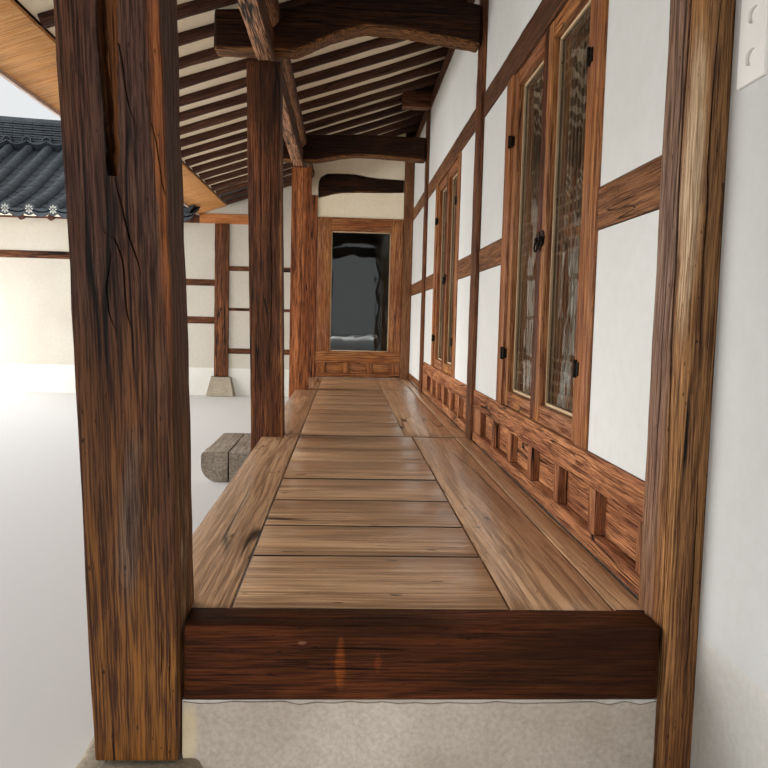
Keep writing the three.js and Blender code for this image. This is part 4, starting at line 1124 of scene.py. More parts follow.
@dataclass
class EaveTimbers(Part):
    """Purlins, rafters and the ends of the inner beams along the veranda."""

    seed: int = 31
    rafter_radius: float = 0.0575
    rafter_pitch: float = 0.385
    first_rafter: float = 0.595
    slope: float = 0.33
    purlin_radius: float = 0.097
    purlin_drop: float = 0.037
    purlin_rise: float = 0.278
    strut_height: float = 0.17
    strut_width: float = 0.108
    overhang: float = 1.217
    tip_inset: float = 0.037
    wall_run: float = 0.12
    bedding: float = 0.015
    sway: float = 0.012
    wall_purlin: tuple[tuple[float, float], ...] = ((1.625, 1.775), (3.33, 3.5))
    beam_end: tuple[tuple[float, float], ...] = ((1.329, 1.7), (3.352, 3.52))
    beam_half: float = 0.07

    def __post_init__(self) -> None:
        """Work out the lines of the eave from the CAD nodes."""
        super().__post_init__()
        post = Box.of("post_e")
        self.box = Box.of("front_rafters")
        self.purlin_y = post.centre.y - self.purlin_drop
        self.seat = post.hi[2]
        self.purlin_z = self.seat + self.purlin_rise
        lean = math.cos(math.atan(self.slope))
        self.axis_z = self.purlin_z + self.purlin_radius - self.bedding + self.rafter_radius / lean
        self.wing_face = Box.of("wing_court_wall").hi[0]
        nearest = post.centre.x + self.first_rafter
        stop = self.wing_face + self.rafter_radius + 0.01
        count = int((nearest - stop) / self.rafter_pitch) + 1
        self.rafters = [nearest - i * self.rafter_pitch for i in range(count)]

    def rafter_axis(self, y: float) -> float:
        """Height of a rafter's axis at a place across the veranda."""
        return self.axis_z + self.slope * (y - self.purlin_y)

    def build(self) -> None:
        """Build and dress the purlins, the ends of the inner beams and the rafters."""
        x = (self.wing_face, self.box.hi[0])
        half = self.strut_width / 2
        start, end = (Vector((place, self.purlin_y, self.purlin_z)) for place in x)
        under = (self.purlin_y - half, self.purlin_y + half), (self.seat, self.seat + self.strut_height)
        pieces = [
            self.cut(x, *under, Axis.X, HEWN),
            self.cut((self.box.lo[0], x[1]), *self.wall_purlin, Axis.X, HEWN),
            log_between(start, end, self.purlin_radius, self.rng, 20, 0.012, 90),
        ]
        for node in ("post_e", "post_a", "post_b", "post_c"):
            middle = Box.of(node).centre.x
            x_range = (middle - self.beam_half, middle + self.beam_half)
            pieces.append(self.cut(x_range, *self.beam_end, Axis.Y, HEWN, Sawn.HEART))
        self.finish(pieces, "purlins", "purlin_timber", "dark_timber", "front_rafters")
        y0 = self.purlin_y - self.overhang + self.tip_inset
        y1 = Box.of("wall_post_a").centre.y + self.wall_run
        logs = []
        for x in self.rafters:
            sway = self.rng.uniform(-self.sway, self.sway)
            start = Vector((x + sway, y0, self.rafter_axis(y0)))
            end = Vector((x - sway, y1, self.rafter_axis(y1)))
            logs.append(log_between(start, end, self.rafter_radius, self.rng, 12, 0.016, 18))
        self.finish(logs, "rafters", "rafter_timber", "dark_timber", "front_rafters")


@dataclass
class Soffit(Part):
    """Pale boards past the rafter ends and the fascia along their edge."""

    seed: int = 37
    board: float = 0.15
    slope: float = 0.33
    thickness: float = 0.022
    half_gap: float = 0.0015
    lip: float = 0.024
    fascia_width: float = 0.028
    fascia_height: float = 0.085

    def build(self) -> None:
        """Build and dress the soffit."""
        box = Box.of("eave_soffit")
        y0 = box.lo[1] + self.fascia_width
        y1 = box.hi[1]
        z0 = box.hi[2] - self.lip - self.slope * (y1 - y0)
        count = int((box.hi[0] - box.lo[0]) / self.board)
        pitch = (box.hi[0] - box.lo[0]) / count
        boards = []
        for i in range(count):
            x = box.lo[0] + i * pitch
            x_range = (x + self.half_gap, x + pitch - self.half_gap)
            boards.append(self.cut(x_range, (y0, y1), (z0, z0 + self.thickness), Axis.Y, FINE))
        soffit = join(boards)
        points = points_of(soffit)
        points[:, 2] += self.slope * (points[:, 1] - y0)
        set_points(soffit, points)
        self.finish(soffit, "soffit_boards", "soffit_timber", "pale_timber", "eave_soffit")
        fascia = self.cut(box.ranges[0], (box.lo[1], y0), (box.lo[2], box.lo[2] + self.fascia_height), Axis.X)
        self.finish(fascia, "eave_fascia", "fascia_timber", "pale_timber")


@dataclass
class VerandaFloor(Part):
    """Wide floorboards: long ones along both sides, short ones laid across between them."""

    seed: int = 41
    thickness: float = 0.04
    gap: float = 0.004
    cross_gap: float = 0.011
    left_seam: float = 0.507
    right_seam: tuple[float, float] = (1.239, 1.195)
    wall_seam: float = 1.518
    joist_half: float = 0.095
    joist_drop: float = 0.045
    edge_beam: float = 0.12
    sag: float = 0.0035
    planing: Hewing = Hewing(edge=0.0035, uneven=0.003, section=0.12, lumps=0.3)
    cross_seams: tuple[tuple[float, ...], ...] = (
        (0.46, 0.82, 1.22, 1.65, 2.08, 2.5),
        (0.65, 0.93, 1.4, 1.85, 2.34, 2.66, 2.95),
        (0.75,),
    )

    def board(self, x: Sequence[float], y: Sequence[float], along: Axis) -> Mesh:
        """One board between seams."""
        half = self.gap / 2
        end = self.cross_gap / 2
        sag = self.rng.uniform(0, self.sag)
        z = (FLOOR - self.thickness - sag, FLOOR - sag)
        return self.cut((x[0] + end, x[1] - end), (y[0] + half, y[1] - half), z, along, self.planing)

    def build(self) -> None:
        """Build and dress the floor."""
        deck = Box.of("veranda_floor")
        joints = [deck.hi[0], Box.of("post_b").centre.x, Box.of("post_c").centre.x, deck.lo[0]]
        pieces = []
        for bay, seams in enumerate(self.cross_seams):
            near, far = joints[bay], joints[bay + 1]
            right = self.right_seam[0] if bay == 0 else self.right_seam[1]
            for y in ((deck.lo[1], self.left_seam), (right, self.wall_seam), (self.wall_seam, deck.hi[1])):
                pieces.append(self.board((far, near), y, Axis.X))
            edges = [near, *(near - offset for offset in seams), far]
            for hi, lo in zip(edges, edges[1:]):
                pieces.append(self.board((lo, hi), (self.left_seam, right), Axis.Y))
        z = (deck.lo[2], FLOOR - self.joist_drop)
        under = [self.cut(deck.ranges[0], (deck.lo[1], deck.lo[1] + self.edge_beam), z, Axis.X, HEWN)]
        joist_y = (deck.lo[1] + 0.1, deck.hi[1] - 0.03)
        for x in joints[1:3]:
            under.append(self.cut((x - self.joist_half, x + self.joist_half), joist_y, z, Axis.Y, HEWN))
        self.finish(under, "veranda_joists", "rail_timber", "floor_timber")
        self.finish(pieces, "veranda_boards", "floor_board", "floor_timber", "veranda_floor")


@dataclass
class EndSill(Part):
    """Heavy sill across the near end of the veranda, over a rough plaster panel."""

    seed: int = 43
    set_back: float = 0.009
    plaster: float = 0.011
    torn: float = 0.014

    def panel(self) -> None:
        """Build the plaster under the sill, with a torn upper edge."""
        sill = Box.of("end_sill_beam")
        near = sill.hi[0] - self.set_back
        top = sill.lo[2] - 0.001
        y = (sill.lo[1] + 0.001, sill.hi[1] - 0.001)
        item = block(Box.span((near - self.plaster, near), y, (0, top)))
        edit(item, bpy.ops.mesh.subdivide, faces=True, number_cuts=28)
        points = points_of(item)
        places = np.linspace(sill.lo[1], sill.hi[1], 60)
        drops = np.array([self.rng.uniform(0, self.torn) * self.rng.random() for _ in places])
        share = np.clip((points[:, 2] - top + 0.05) / 0.05, 0, 1)
        points[:, 2] -= share * np.interp(points[:, 1], places, drops)
        set_points(item, points)
        roughen(item, 0.004, 0.05)
        self.finish(item, "sill_panel", "panel_plaster", "render")

    def build(self) -> None:
        """Build and dress the sill."""
        sill = timber(Box.of("end_sill_beam"), Axis.Y, self.rng, Hewing(0.012, 0.008, 0.06, 0.2))
        self.finish(sill, "end_sill", "sill_timber", "warm_timber", "end_sill_beam")
        self.panel()


@dataclass
class RoomWall(Part):
    """Timbers of the wall between the veranda and the rooms, with its dado and windows."""

    seed: int = 53
    depth: float = 0.06
    sill_depth: float = 0.08
    dado_depth: float = 0.1
    jamb_depth: float = 0.12
    panel_back: float = 0.07
    set_in: float = 0.002
    first_stile: float = 0.075
    last_stile: float = 0.04
    dado_top: float = 0.724
    recess: tuple[float, float] = (0.462, 0.612)
    recess_width: float = 0.36
    recess_pitch: float = 0.433
    recess_depth: float = 0.036
    mid_rail: tuple[float, float] = (1.465, 1.609)
    head_rail: tuple[float, float] = (2.412, 2.567)
    jamb: float = 0.14
    stile: float = 0.072
    bottom_rail: float = 0.076
    bead: float = 0.012
    rim: float = 0.012
    bars: int = 10
    bar: float = 0.016
    glass_gap: float = 0.003
    lattice_back: float = 0.012
    leaf_cover: float = 0.045
    backing: tuple[float, float] = (0.003, 0.008)
    cross_bars: tuple[tuple[float, int], ...] = ((0.1, 4), (0.5, 6), (0.9, 4))
    hinges: tuple[float, float] = (0.16, 0.8)
    hinge_proud: float = 0.018
    knuckle: tuple[float, float] = (0.009, 0.064)
    hinge_arm: tuple[float, float] = (0.032, 0.024)
    pull_inset: float = 0.034
    pull_height: float = 0.47
    pull_radius: float = 0.036
    pull_waves: float = 0.14
    ring: tuple[float, float] = (0.028, 0.004)
    ring_drop: float = 0.024
    boss: float = 0.011
    post: float = 0.205

    def build(self) -> None:
        """Build and dress the three bays."""
        for number in (1, 2):
            self.frame_bay(number)
            self.leaves(number)
            self.lattice(number)
            self.palette.dress(f"window_glass_{number}", "window_glass")
        self.far_bay()

    def frame_bay(self, number: int) -> None:
        """Build one bay's fixed timbers.

        Args:
            number: The bay.
        """
        (x0, x1), (face, _), _ = Box.of(f"timber_frame_{number}").ranges
        far = Box.of(f"window_leaf_{number}_far").lo[0] - self.set_in
        near = Box.of(f"window_leaf_{number}_near").hi[0] + self.set_in
        rails = [
            self.cut((x0, x1), (face, face + self.sill_depth), (FLOOR, self.recess[0]), Axis.X),
            self.cut((x0, x1), (face, face + self.dado_depth), (self.recess[1], self.dado_top), Axis.X),
        ]
        stile_y = (face + self.set_in, face + self.depth)
        panel_y = (face + self.recess_depth, face + self.panel_back)
        edge = x1
        start = x1 - self.first_stile
        while start - self.recess_width > x0 + self.last_stile:
            rails.append(self.cut((start, edge), stile_y, self.recess, Axis.Z))
            edge = start - self.recess_width
            rails.append(self.cut((edge, start), panel_y, self.recess, Axis.X))
            start -= self.recess_pitch
        rails.append(self.cut((x0, edge), stile_y, self.recess, Axis.Z))
        self.finish(rails, f"dado_{number}", "dado_timber", "warm_timber", f"timber_frame_{number}")
        y = (face, face + self.depth)
        beams = [
            self.cut((x0, x1), y, self.head_rail, Axis.X, HEWN),
            self.cut((near + self.jamb, x1), y, self.mid_rail, Axis.X, HEWN),
            self.cut((x0, far - self.jamb), y, self.mid_rail, Axis.X, HEWN),
        ]
        self.finish(beams, f"wall_rails_{number}", "rail_timber", "warm_timber")
        height = (self.dado_top, self.head_rail[0])
        jambs = [
            self.cut(x, (face, face + self.jamb_depth), height, Axis.Z)
            for x in ((near, near + self.jamb), (far - self.jamb, far))
        ]
        self.finish(jambs, f"window_jambs_{number}", "window_timber", "warm_timber")

    def leaves(self, number: int) -> None:
        """Build the two glazed leaves of a window with their beads and ironwork.

        Args:
            number: The window.
        """
        for side in ("near", "far"):
            node = f"window_leaf_{number}_{side}"
            (x0, x1), (y0, y1), (z0, z1) = Box.of(node).ranges
            inner = (x0 + self.stile, x1 - self.stile)
            rail_y = (y0 + self.set_in, y1)
            members = [
                self.cut((x0, inner[0]), (y0, y1), (z0, z1), Axis.Z),
                self.cut((inner[1], x1), (y0, y1), (z0, z1), Axis.Z),
                self.cut(inner, rail_y, (z0, z0 + self.bottom_rail), Axis.X),
                self.cut(inner, rail_y, (z1 - self.stile, z1), Axis.X),
            ]
            self.finish(members, node + "_joinery", "window_timber", "warm_timber", node)
            low, high = z0 + self.bottom_rail, z1 - self.stile
            bead_y = (y1 - self.bead, y1)
            strips = [
                self.cut((inner[0], inner[0] + self.bead), bead_y, (low, high), Axis.Z, FINE),
                self.cut((inner[1] - self.bead, inner[1]), bead_y, (low, high), Axis.Z, FINE),
                self.cut(inner, bead_y, (low, low + self.bead), Axis.X, FINE),
                self.cut(inner, bead_y, (high - self.bead, high), Axis.X, FINE),
            ]
            self.finish(strips, node + "_beads", "bead_timber", "warm_timber")
            self.ironwork(node, side)

    def ironwork(self, node: str, side: str) -> None:
        """Hinges on the outer stile and a ring pull on the meeting stile.

        Args:
            node: The leaf's CAD node.
            side: Near or far leaf.
        """
        box = Box.of(node)
        face = box.lo[1]
        proud = face - self.hinge_proud
        hinge_x = box.hi[0] - self.set_in if side == "near" else box.lo[0] + self.set_in
        pieces = []
        for share in self.hinges:
            z = box.lo[2] + box.size.z * share
            knuckle = disc(*self.knuckle, 12, (hinge_x, proud, z))
            modify(knuckle, "BEVEL", width=0.002, segments=1, limit_method="ANGLE")
            reach, half = self.hinge_arm
            arm_x, arm_z = (hinge_x - reach, hinge_x + reach), (z - half, z + half)
            arms = block(Box.span(arm_x, (proud, face + self.set_in), arm_z))
            modify(arms, "BEVEL", width=0.0015, segments=1)
            pieces += [knuckle, arms]
        pull_x = box.lo[0] + self.pull_inset if side == "near" else box.hi[0] - self.pull_inset
        z = box.lo[2] + box.size.z * self.pull_height
        plate = disc(self.pull_radius, 0.005, 32)
        points = points_of(plate)
        turn = np.arctan2(points[:, 1], points[:, 0])
        points[:, :2] *= (1 - self.pull_waves + self.pull_waves * np.abs(np.cos(turn * 4)))[:, None]
        set_points(plate, points)
        plate.rotation_euler = (math.pi / 2, 0, 0)
        plate.location = (pull_x, face - self.set_in, z)
        settle(plate)
        bpy.ops.mesh.primitive_torus_add(
            major_radius=self.ring[0], minor_radius=self.ring[1], major_segments=28, minor_segments=8,
            location=(pull_x, face - 0.01, z - self.ring_drop), rotation=(1.45, 0, 0))
        ring = settle(bpy.context.object)
        place = (pull_x, face - 0.008, z)
        bpy.ops.mesh.primitive_uv_sphere_add(segments=12, ring_count=8, radius=self.boss, location=place)
        boss = settle(bpy.context.object)
        self.finish([*pieces, plate, ring, boss], node + "_ironwork", "black_iron", "warm_timber")

    def lattice(self, number: int) -> None:
        """Fine lattice screens behind the glass.

        Args:
            number: The window.
        """
        glass = Box.of(f"window_glass_{number}")
        y = (glass.hi[1] + self.glass_gap, glass.hi[1] + self.lattice_back)
        rim_y = (y[0] - self.set_in, y[1] + self.set_in)
        z0, z1 = glass.lo[2] + 0.03, glass.hi[2] - 0.03
        pieces = []
        for side in ("near", "far"):
            box = Box.of(f"window_leaf_{number}_{side}")
            x0, x1 = box.lo[0] + self.leaf_cover, box.hi[0] - self.leaf_cover
            x = (x0 + self.rim, x1 - self.rim)
            pieces += [self.cut(ends, rim_y, (z0, z1), Axis.Z, FINE) for ends in ((x0, x[0]), (x[1], x1))]
            for z in ((z0, z0 + self.rim), (z1 - self.rim, z1)):
                pieces.append(self.cut(x, rim_y, z, Axis.X, FINE))
            pitch = (x[1] - x[0]) / (self.bars + 1)
            middle = x[0] + pitch
            half = self.bar / 2
            bar_z = (z0 + self.rim, z1 - self.rim)
            upright = self.cut((middle - half, middle + half), y, bar_z, Axis.Z, FINE)
            pieces.append(repeat(upright, self.bars, (pitch, 0, 0)))
            height = z1 - z0 - 2 * self.rim
            for share, count in self.cross_bars:
                low = z0 + self.rim + height * share - pitch * (count - 1) / 2
                cross = self.cut(x, (y[0] + 0.002, y[1] - 0.001), (low - half, low + half), Axis.X, FINE)
                pieces.append(repeat(cross, count, (0, 0, pitch)))
        # The lattice's pale tone is partly painted light.
        self.finish(pieces, f"window_lattice_{number}", "lattice_timber", "warm_timber")
        # A dark sheet behind the lattice stands for the shaded screen and room behind: painted shade.
        x, z = ((low + 0.004, high - 0.004) for low, high in (glass.ranges[0], glass.ranges[2]))
        backing = self.cut(x, (y[1] + self.backing[0], y[1] + self.backing[1]), z, Axis.Z, FINE)
        self.finish(backing, f"window_backing_{number}", "screen_timber", "warm_timber")

    def far_bay(self) -> None:
        """Rails of the bay without a window, and the post in its far corner."""
        box = Box.of("timber_frame_3")
        face = Box.of("timber_frame_2").lo[1]
        post_x = (box.lo[0], box.lo[0] + self.post)
        x = (post_x[1], Box.of("bay_wall_3").hi[0])
        y = (box.lo[1], box.lo[1] + self.post)
        pieces = [self.cut(post_x, y, (0, box.hi[2]), Axis.Z, HEWN, Sawn.HEART)]
        for z in ((FLOOR, 0.48), self.mid_rail, self.head_rail):
            pieces.append(self.cut(x, (face, face + self.depth), z, Axis.X, HEWN))
        self.finish(pieces, "far_bay_timbers", "rail_timber", "dark_timber", "timber_frame_3")


@dataclass
class FarWall(Part):
    """Glazed frame over low panels at the far end of the veranda."""

    seed: int = 59
    recess: tuple[float, float] = (0.455, 0.592)
    recess_width: float = 0.225
    recess_pitch: float = 0.298
    recess_first: float = 0.545
    recess_depth: float = 0.014
    bead: float = 0.014

    def build(self) -> None:
        """Build and dress the frame."""
        x, (y0, y1), (_, top) = Box.of("far_glazed_frame").ranges
        glass_x, pane_y, pane_z = Box.of("far_glass").ranges
        pieces = [
            self.cut(x, (y0, pane_y[0]), (pane_z[0], top), Axis.Z),
            self.cut(x, (pane_y[1], y1), (pane_z[0], top), Axis.Z),
            self.cut(x, pane_y, (pane_z[1], top), Axis.Y),
            self.cut(x, (y0, y1), (self.recess[1], pane_z[0]), Axis.Y),
            self.cut(x, (y0, y1), (FLOOR, self.recess[0]), Axis.Y),
        ]
        edge = y0
        for i in range(3):
            start = self.recess_first + i * self.recess_pitch
            pieces.append(self.cut(x, (edge, start), self.recess, Axis.Z))
            edge = start + self.recess_width
            pieces.append(self.cut((x[0], x[1] - self.recess_depth), (start, edge), self.recess, Axis.Y))
        pieces.append(self.cut(x, (edge, y1), self.recess, Axis.Z))
        self.finish(pieces, "far_frame_joinery", "window_timber", "warm_timber", "far_glazed_frame")
        bead_x = (glass_x[1], glass_x[1] + 0.02)
        strips = [
            self.cut(bead_x, (pane_y[0], pane_y[0] + self.bead), pane_z, Axis.Z, FINE),
            self.cut(bead_x, (pane_y[1] - self.bead, pane_y[1]), pane_z, Axis.Z, FINE),
            self.cut(bead_x, pane_y, (pane_z[0], pane_z[0] + self.bead), Axis.Y, FINE),
            self.cut(bead_x, pane_y, (pane_z[1] - self.bead, pane_z[1]), Axis.Y, FINE),
        ]
        self.finish(strips, "far_frame_bead", "bead_timber", "warm_timber")
        self.palette.dress("far_glass", "far_pane")


@dataclass
class Masonry(Part):
    """Plaster walls, the base and the footing stones."""

    white: tuple[str, ...] = ("bay_wall_1", "bay_wall_2", "bay_wall_3", "near_end_wall", "back_wall",
                              "far_end_wall")
    aged: tuple[str, ...] = ("side_wall", "wing_court_wall", "wing_end_wall")
    plate_x: tuple[float, float] = (4.832, 4.948)
    plate_z: tuple[float, float] = (1.69, 1.89)
    holes: tuple[float, float] = (1.745, 1.835)
    hole_size: tuple[float, float, float] = (0.05, 0.036, 1)

    def build(self) -> None:
        """Dress the walls and build the stones."""
        for node in self.white:
            self.palette.dress(node, "white_plaster")
        for node in self.aged:
            self.palette.dress(node, "aged_plaster")
        # The near bay's wall takes the darker copy of the white plaster: painted shade.
        self.palette.dress("near_bay_wall", "near_plaster")
        self.palette.dress("far_wall", "cream_plaster")
        self.palette.dress("foundation", "base_plaster")
        self.socket_plate()
        for node in ("stone_e", "stone_a", "stone_b", "stone_c", "wing_stone"):
            self.finish(self.stone(node), node + "_hewn", "granite", "stone", node, angle=60)

    def socket_plate(self) -> None:
        """Build the plain plate with two oval holes on the near bay's wall."""
        face = Box.of("near_bay_wall").lo[1]
        plate = block(Box.span(self.plate_x, (face - 0.01, face + 0.002), self.plate_z))
        modify(plate, "BEVEL", width=0.004, segments=3)
        for z in self.holes:
            place = (sum(self.plate_x) / 2, face - 0.012, z)
            carve(plate, disc(0.5, 0.02, 32, place, (math.pi / 2, 0, 0), scale=self.hole_size))
        self.finish(plate, "socket_plate", "socket_plate", "plaster")

    @staticmethod
    def stone(node: str) -> Mesh:
        """A footing stone with uneven faces."""
        item = roughen(recast(node, 0.012, 0.6, 3), 0.012, 0.09)
        points = points_of(item)
        points[:, 2] = np.maximum(points[:, 2], 0)
        set_points(item, points)
        return item


@dataclass
class WallTimbers(Part):
    """Posts and rails let into the plaster of the wing and of the outer walls."""

    seed: int = 61
    proud: float = 0.012
    deep: float = 0.03
    mid: tuple[float, float] = (1.465, 1.609)
    head: tuple[float, float] = (2.412, 2.52)
    main_top: float = 3.33
    wing_top: float = 2.46
    stud_half: float = 0.075
    wing_upright: float = -1.75
    board: tuple[float, float] = (-1.311, -0.311)
    wing_rails: tuple[tuple[float, float], ...] = (
        (1.036, 1.136), (1.577, 1.669), (1.9, 2.005), (0.612, 0.691), (1.229, 1.272), (1.798, 1.868),
    )

    def strip(self, node: str, outward: tuple[Axis, int], a: Sequence[float], z: Sequence[float],
              along: Axis) -> Mesh:
        """A timber let into a wall's face.

        Args:
            node: The wall's CAD node.
            outward: Axis and sign of the face's outward direction.
            a: Range along the wall.
            z: Range of heights.
            along: Direction of the grain.

        Returns:
            The timber.
        """
        axis, sign = outward
        plane = Box.of(node).ranges[axis.value][sign > 0]
        depth = sorted((plane - sign * self.deep, plane + sign * self.proud))
        ranges = (depth, a, z) if axis is Axis.X else (a, depth, z)
        return self.cut(*ranges, along)

    def wing_court(self) -> list[Mesh]:
        """Rails beside the wing's post, as they face the courtyard."""
        wall = "wing_court_wall"
        outward = (Axis.X, 1)
        post = Box.of("wing_post_1")
        upright = (self.wing_upright - 0.07, self.wing_upright + 0.07)
        far = (Box.of(wall).lo[1] + 0.05, upright[0])
        left = (upright[1], post.lo[1])
        right = (post.hi[1], Box.of("side_wall").lo[1])
        places = (left, left, far, right, right, right)
        pieces = [self.strip(wall, outward, y, z, Axis.Y) for y, z in zip(places, self.wing_rails)]
        pieces.append(self.strip(wall, outward, upright, (FLOOR, self.wing_top), Axis.Z))
        board_z = (self.wing_top, 2.6)
        board = self.strip(wall, outward, self.board, board_z, Axis.Y)
        self.finish(board, "wing_top_board", "board_timber", "dark_timber")
        return [*pieces, self.strip(wall, outward, (far[0], self.board[0]), board_z, Axis.Y)]

    def plain_wall(self, node: str, axis: Axis, sign: int, uprights: int) -> list[Mesh]:
        """Rails and evenly spaced uprights of an outer wall.

        Args:
            node: The wall's CAD node.
            axis: Axis across the wall.
            sign: Which way along that axis is outside.
            uprights: Number of uprights.

        Returns:
            The timbers.
        """
        box = Box.of(node)
        run = Axis.Y if axis is Axis.X else Axis.X
        a = box.ranges[run.value]
        top = min(box.hi[2], self.wing_top) if node.startswith("wing") else self.main_top
        rails = [z for z in (self.mid, self.head) if z[1] < top]
        pieces = [self.strip(node, (axis, sign), a, z, run) for z in rails]
        for i in range(uprights):
            middle = a[0] + (a[1] - a[0]) * (i + 1) / (uprights + 1)
            under_wing = node == "far_end_wall" and middle < Box.of("wing_court_wall").hi[1]
            z = (FLOOR, self.head[1] if under_wing else top)
            stud = (middle - self.stud_half, middle + self.stud_half)
            pieces.append(self.strip(node, (axis, sign), stud, z, Axis.Z))
        return pieces

    def build(self) -> None:
        """Build and dress the timbers of every outer wall."""
        sets = {
            "wing_court_timbers": self.wing_court(),
            "near_end_timbers": self.plain_wall("near_end_wall", Axis.X, 1, 1),
            "back_timbers": self.plain_wall("back_wall", Axis.Y, 1, 4),
            "far_end_timbers": self.plain_wall("far_end_wall", Axis.X, -1, 3),
            "wing_end_timbers": self.plain_wall("wing_end_wall", Axis.Y, -1, 1),
        }
        for name, pieces in sets.items():
            self.finish(pieces, name, "inner_post_timber", "dark_timber")


@dataclass
class HiddenRafters(Part):
    """Rafters and purlins of the back eave and of the wing."""

    seed: int = 67
    pitch: float = 0.385
    back_radius: float = 0.052
    back_slope: float = 0.38
    wing_radius: float = 0.05
    wing_slope: float = 0.37
    wing_upper: float = 0.52
    first_rafter: float = 0.595
    back_rise: float = 0.3276
    purlin_half: float = 0.075
    beam_half: float = 0.07

    def build(self) -> None:
        """Build and dress both sets."""
        self.back()
        for node, side in (("wing_rafters_court", 1), ("wing_rafters_back", -1)):
            self.wing(node, side)

    def log(self, start: Sequence[float], end: Sequence[float], radius: float) -> Mesh:
        """One round rafter."""
        return log_between(Vector(start), Vector(end), radius, self.rng, 10, 0.01, 8)

    def back(self) -> None:
        """Build the back eave's purlin and rafters."""
        box = Box.of("back_rafters")
        post = Box.of("back_post_near")
        middle = post.centre.y
        lean = math.cos(math.atan(self.back_slope))
        axis_z = Box.of("back_wall").hi[2] + self.back_rise - self.back_radius / lean
        purlin_y = (middle - self.purlin_half, middle + self.purlin_half)
        pieces = [self.cut(box.ranges[0], purlin_y, (post.hi[2], axis_z - 0.03), Axis.X, HEWN)]
        ends = [(y, axis_z - self.back_slope * (y - middle)) for y in (middle - 0.09, box.hi[1] - 0.012)]
        x = Box.of("post_e").centre.x + self.first_rafter
        while x > box.lo[0] + 0.06:
            pieces.append(self.log((x, *ends[0]), (x, *ends[1]), self.back_radius))
            x -= self.pitch
        self.finish(pieces, "back_eave_timbers", "rafter_timber", "dark_timber", "back_rafters")

    def wing(self, node: str, side: int) -> None:
        """Build one slope of the wing's rafters.

        Args:
            node: The slope's CAD node.
            side: 1 towards the courtyard, -1 behind.
        """
        y_range = Box.of(node).ranges[1]
        posts = Box.of("wing_post_1"), Box.of("wing_post_3")
        centre = (posts[0].centre.x + posts[1].centre.x) / 2
        half = (posts[0].centre.x - posts[1].centre.x) / 2
        seat = posts[0].hi[2] + 0.18
        lean = math.cos(math.atan(self.wing_slope))
        over_wall = seat + 2 * self.wing_radius / lean
        edge = centre + side * half
        purlin_x = (edge - self.purlin_half, edge + self.purlin_half)
        pieces = [self.cut(purlin_x, y_range, (posts[0].hi[2], seat + 0.01), Axis.Y, HEWN)]

        def low(a: float, y: float) -> tuple[float, float, float]:
            """Place on the axis of an eave rafter."""
            return centre + side * a, y, seat + self.wing_radius / lean - self.wing_slope * (a - half)

        def high(a: float, y: float) -> tuple[float, float, float]:
            """Place on the axis of an upper rafter."""
            return centre + side * a, y, over_wall + self.wing_upper * (half - a) - 0.062

        if side > 0:
            top = high(0, 0)[2]
            beam_x = (centre - self.beam_half, centre + self.beam_half)
            pieces.append(self.cut(beam_x, y_range, (top - 0.19, top - 0.02), Axis.Y, HEWN))
        y = y_range[0] + 0.265
        while y < y_range[1] - 0.08:
            pieces.append(self.log(low(half + 0.85, y), low(half - 0.09, y), self.wing_radius))
            pieces.append(self.log(high(half - 0.06, y), high(0.03, y), self.wing_radius))
            y += self.pitch
        self.finish(pieces, node + "_logs", "rafter_timber", "dark_timber", node)


class Profile:
    """Smooth line of a roof's upper side over the distance from its ridge."""

    def __init__(self, knots: Sequence[tuple[float, float]]) -> None:
        """Sample a smooth curve through its knots.

        Args:
            knots: Pairs of distance from the ridge and height, from the ridge down.
        """
        samples: list[tuple[float, float]] = []
        ends = [knots[0], *knots, knots[-1]]
        for p0, p1, p2, p3 in zip(ends, ends[1:], ends[2:], ends[3:]):
            for step in range(24):
                t = step / 24
                samples.append(tuple(self.blend(a, b, c, d, t) for a, b, c, d in zip(p0, p1, p2, p3)))
        samples.append(knots[-1])
        self.samples = np.array(samples)

    @staticmethod
    def blend(a: float, b: float, c: float, d: float, t: float) -> float:
        """Point of a smooth curve between b and c."""
        v0, v1 = (c - a) / 2, (d - b) / 2
        return (2 * b - 2 * c + v0 + v1) * t ** 3 + (3 * c - 3 * b - 2 * v0 - v1) * t ** 2 + v0 * t + b

    def height(self, distance: float) -> float:
        """Height at a distance from the ridge."""
        return float(np.interp(distance, *self.samples.T))

    def stations(self, spacing: float, short: float = 0.0) -> list[tuple[float, float, float]]:
        """Places of equal spacing down the slope, from the eave up.

        Args:
            spacing: Exposed length of a tile.
            short: How far before the eave the lowest tile ends.

        Returns:
            For each place its distance, height and downward angle.
        """
        steps = np.diff(self.samples, axis=0)
        run = np.concatenate([[0], np.cumsum(np.hypot(steps[:, 0], steps[:, 1]))])
        places = []
        reach = run[-1] - short
        while reach > spacing * 0.4:
            distance, height = (float(np.interp(reach, run, column)) for column in self.samples.T)
            flat, rise = (float(np.interp(max(reach - spacing, 0), run, column)) for column in self.samples.T)
            places.append((distance, height, math.atan2(rise - height, distance - flat)))
            reach -= spacing
        return places


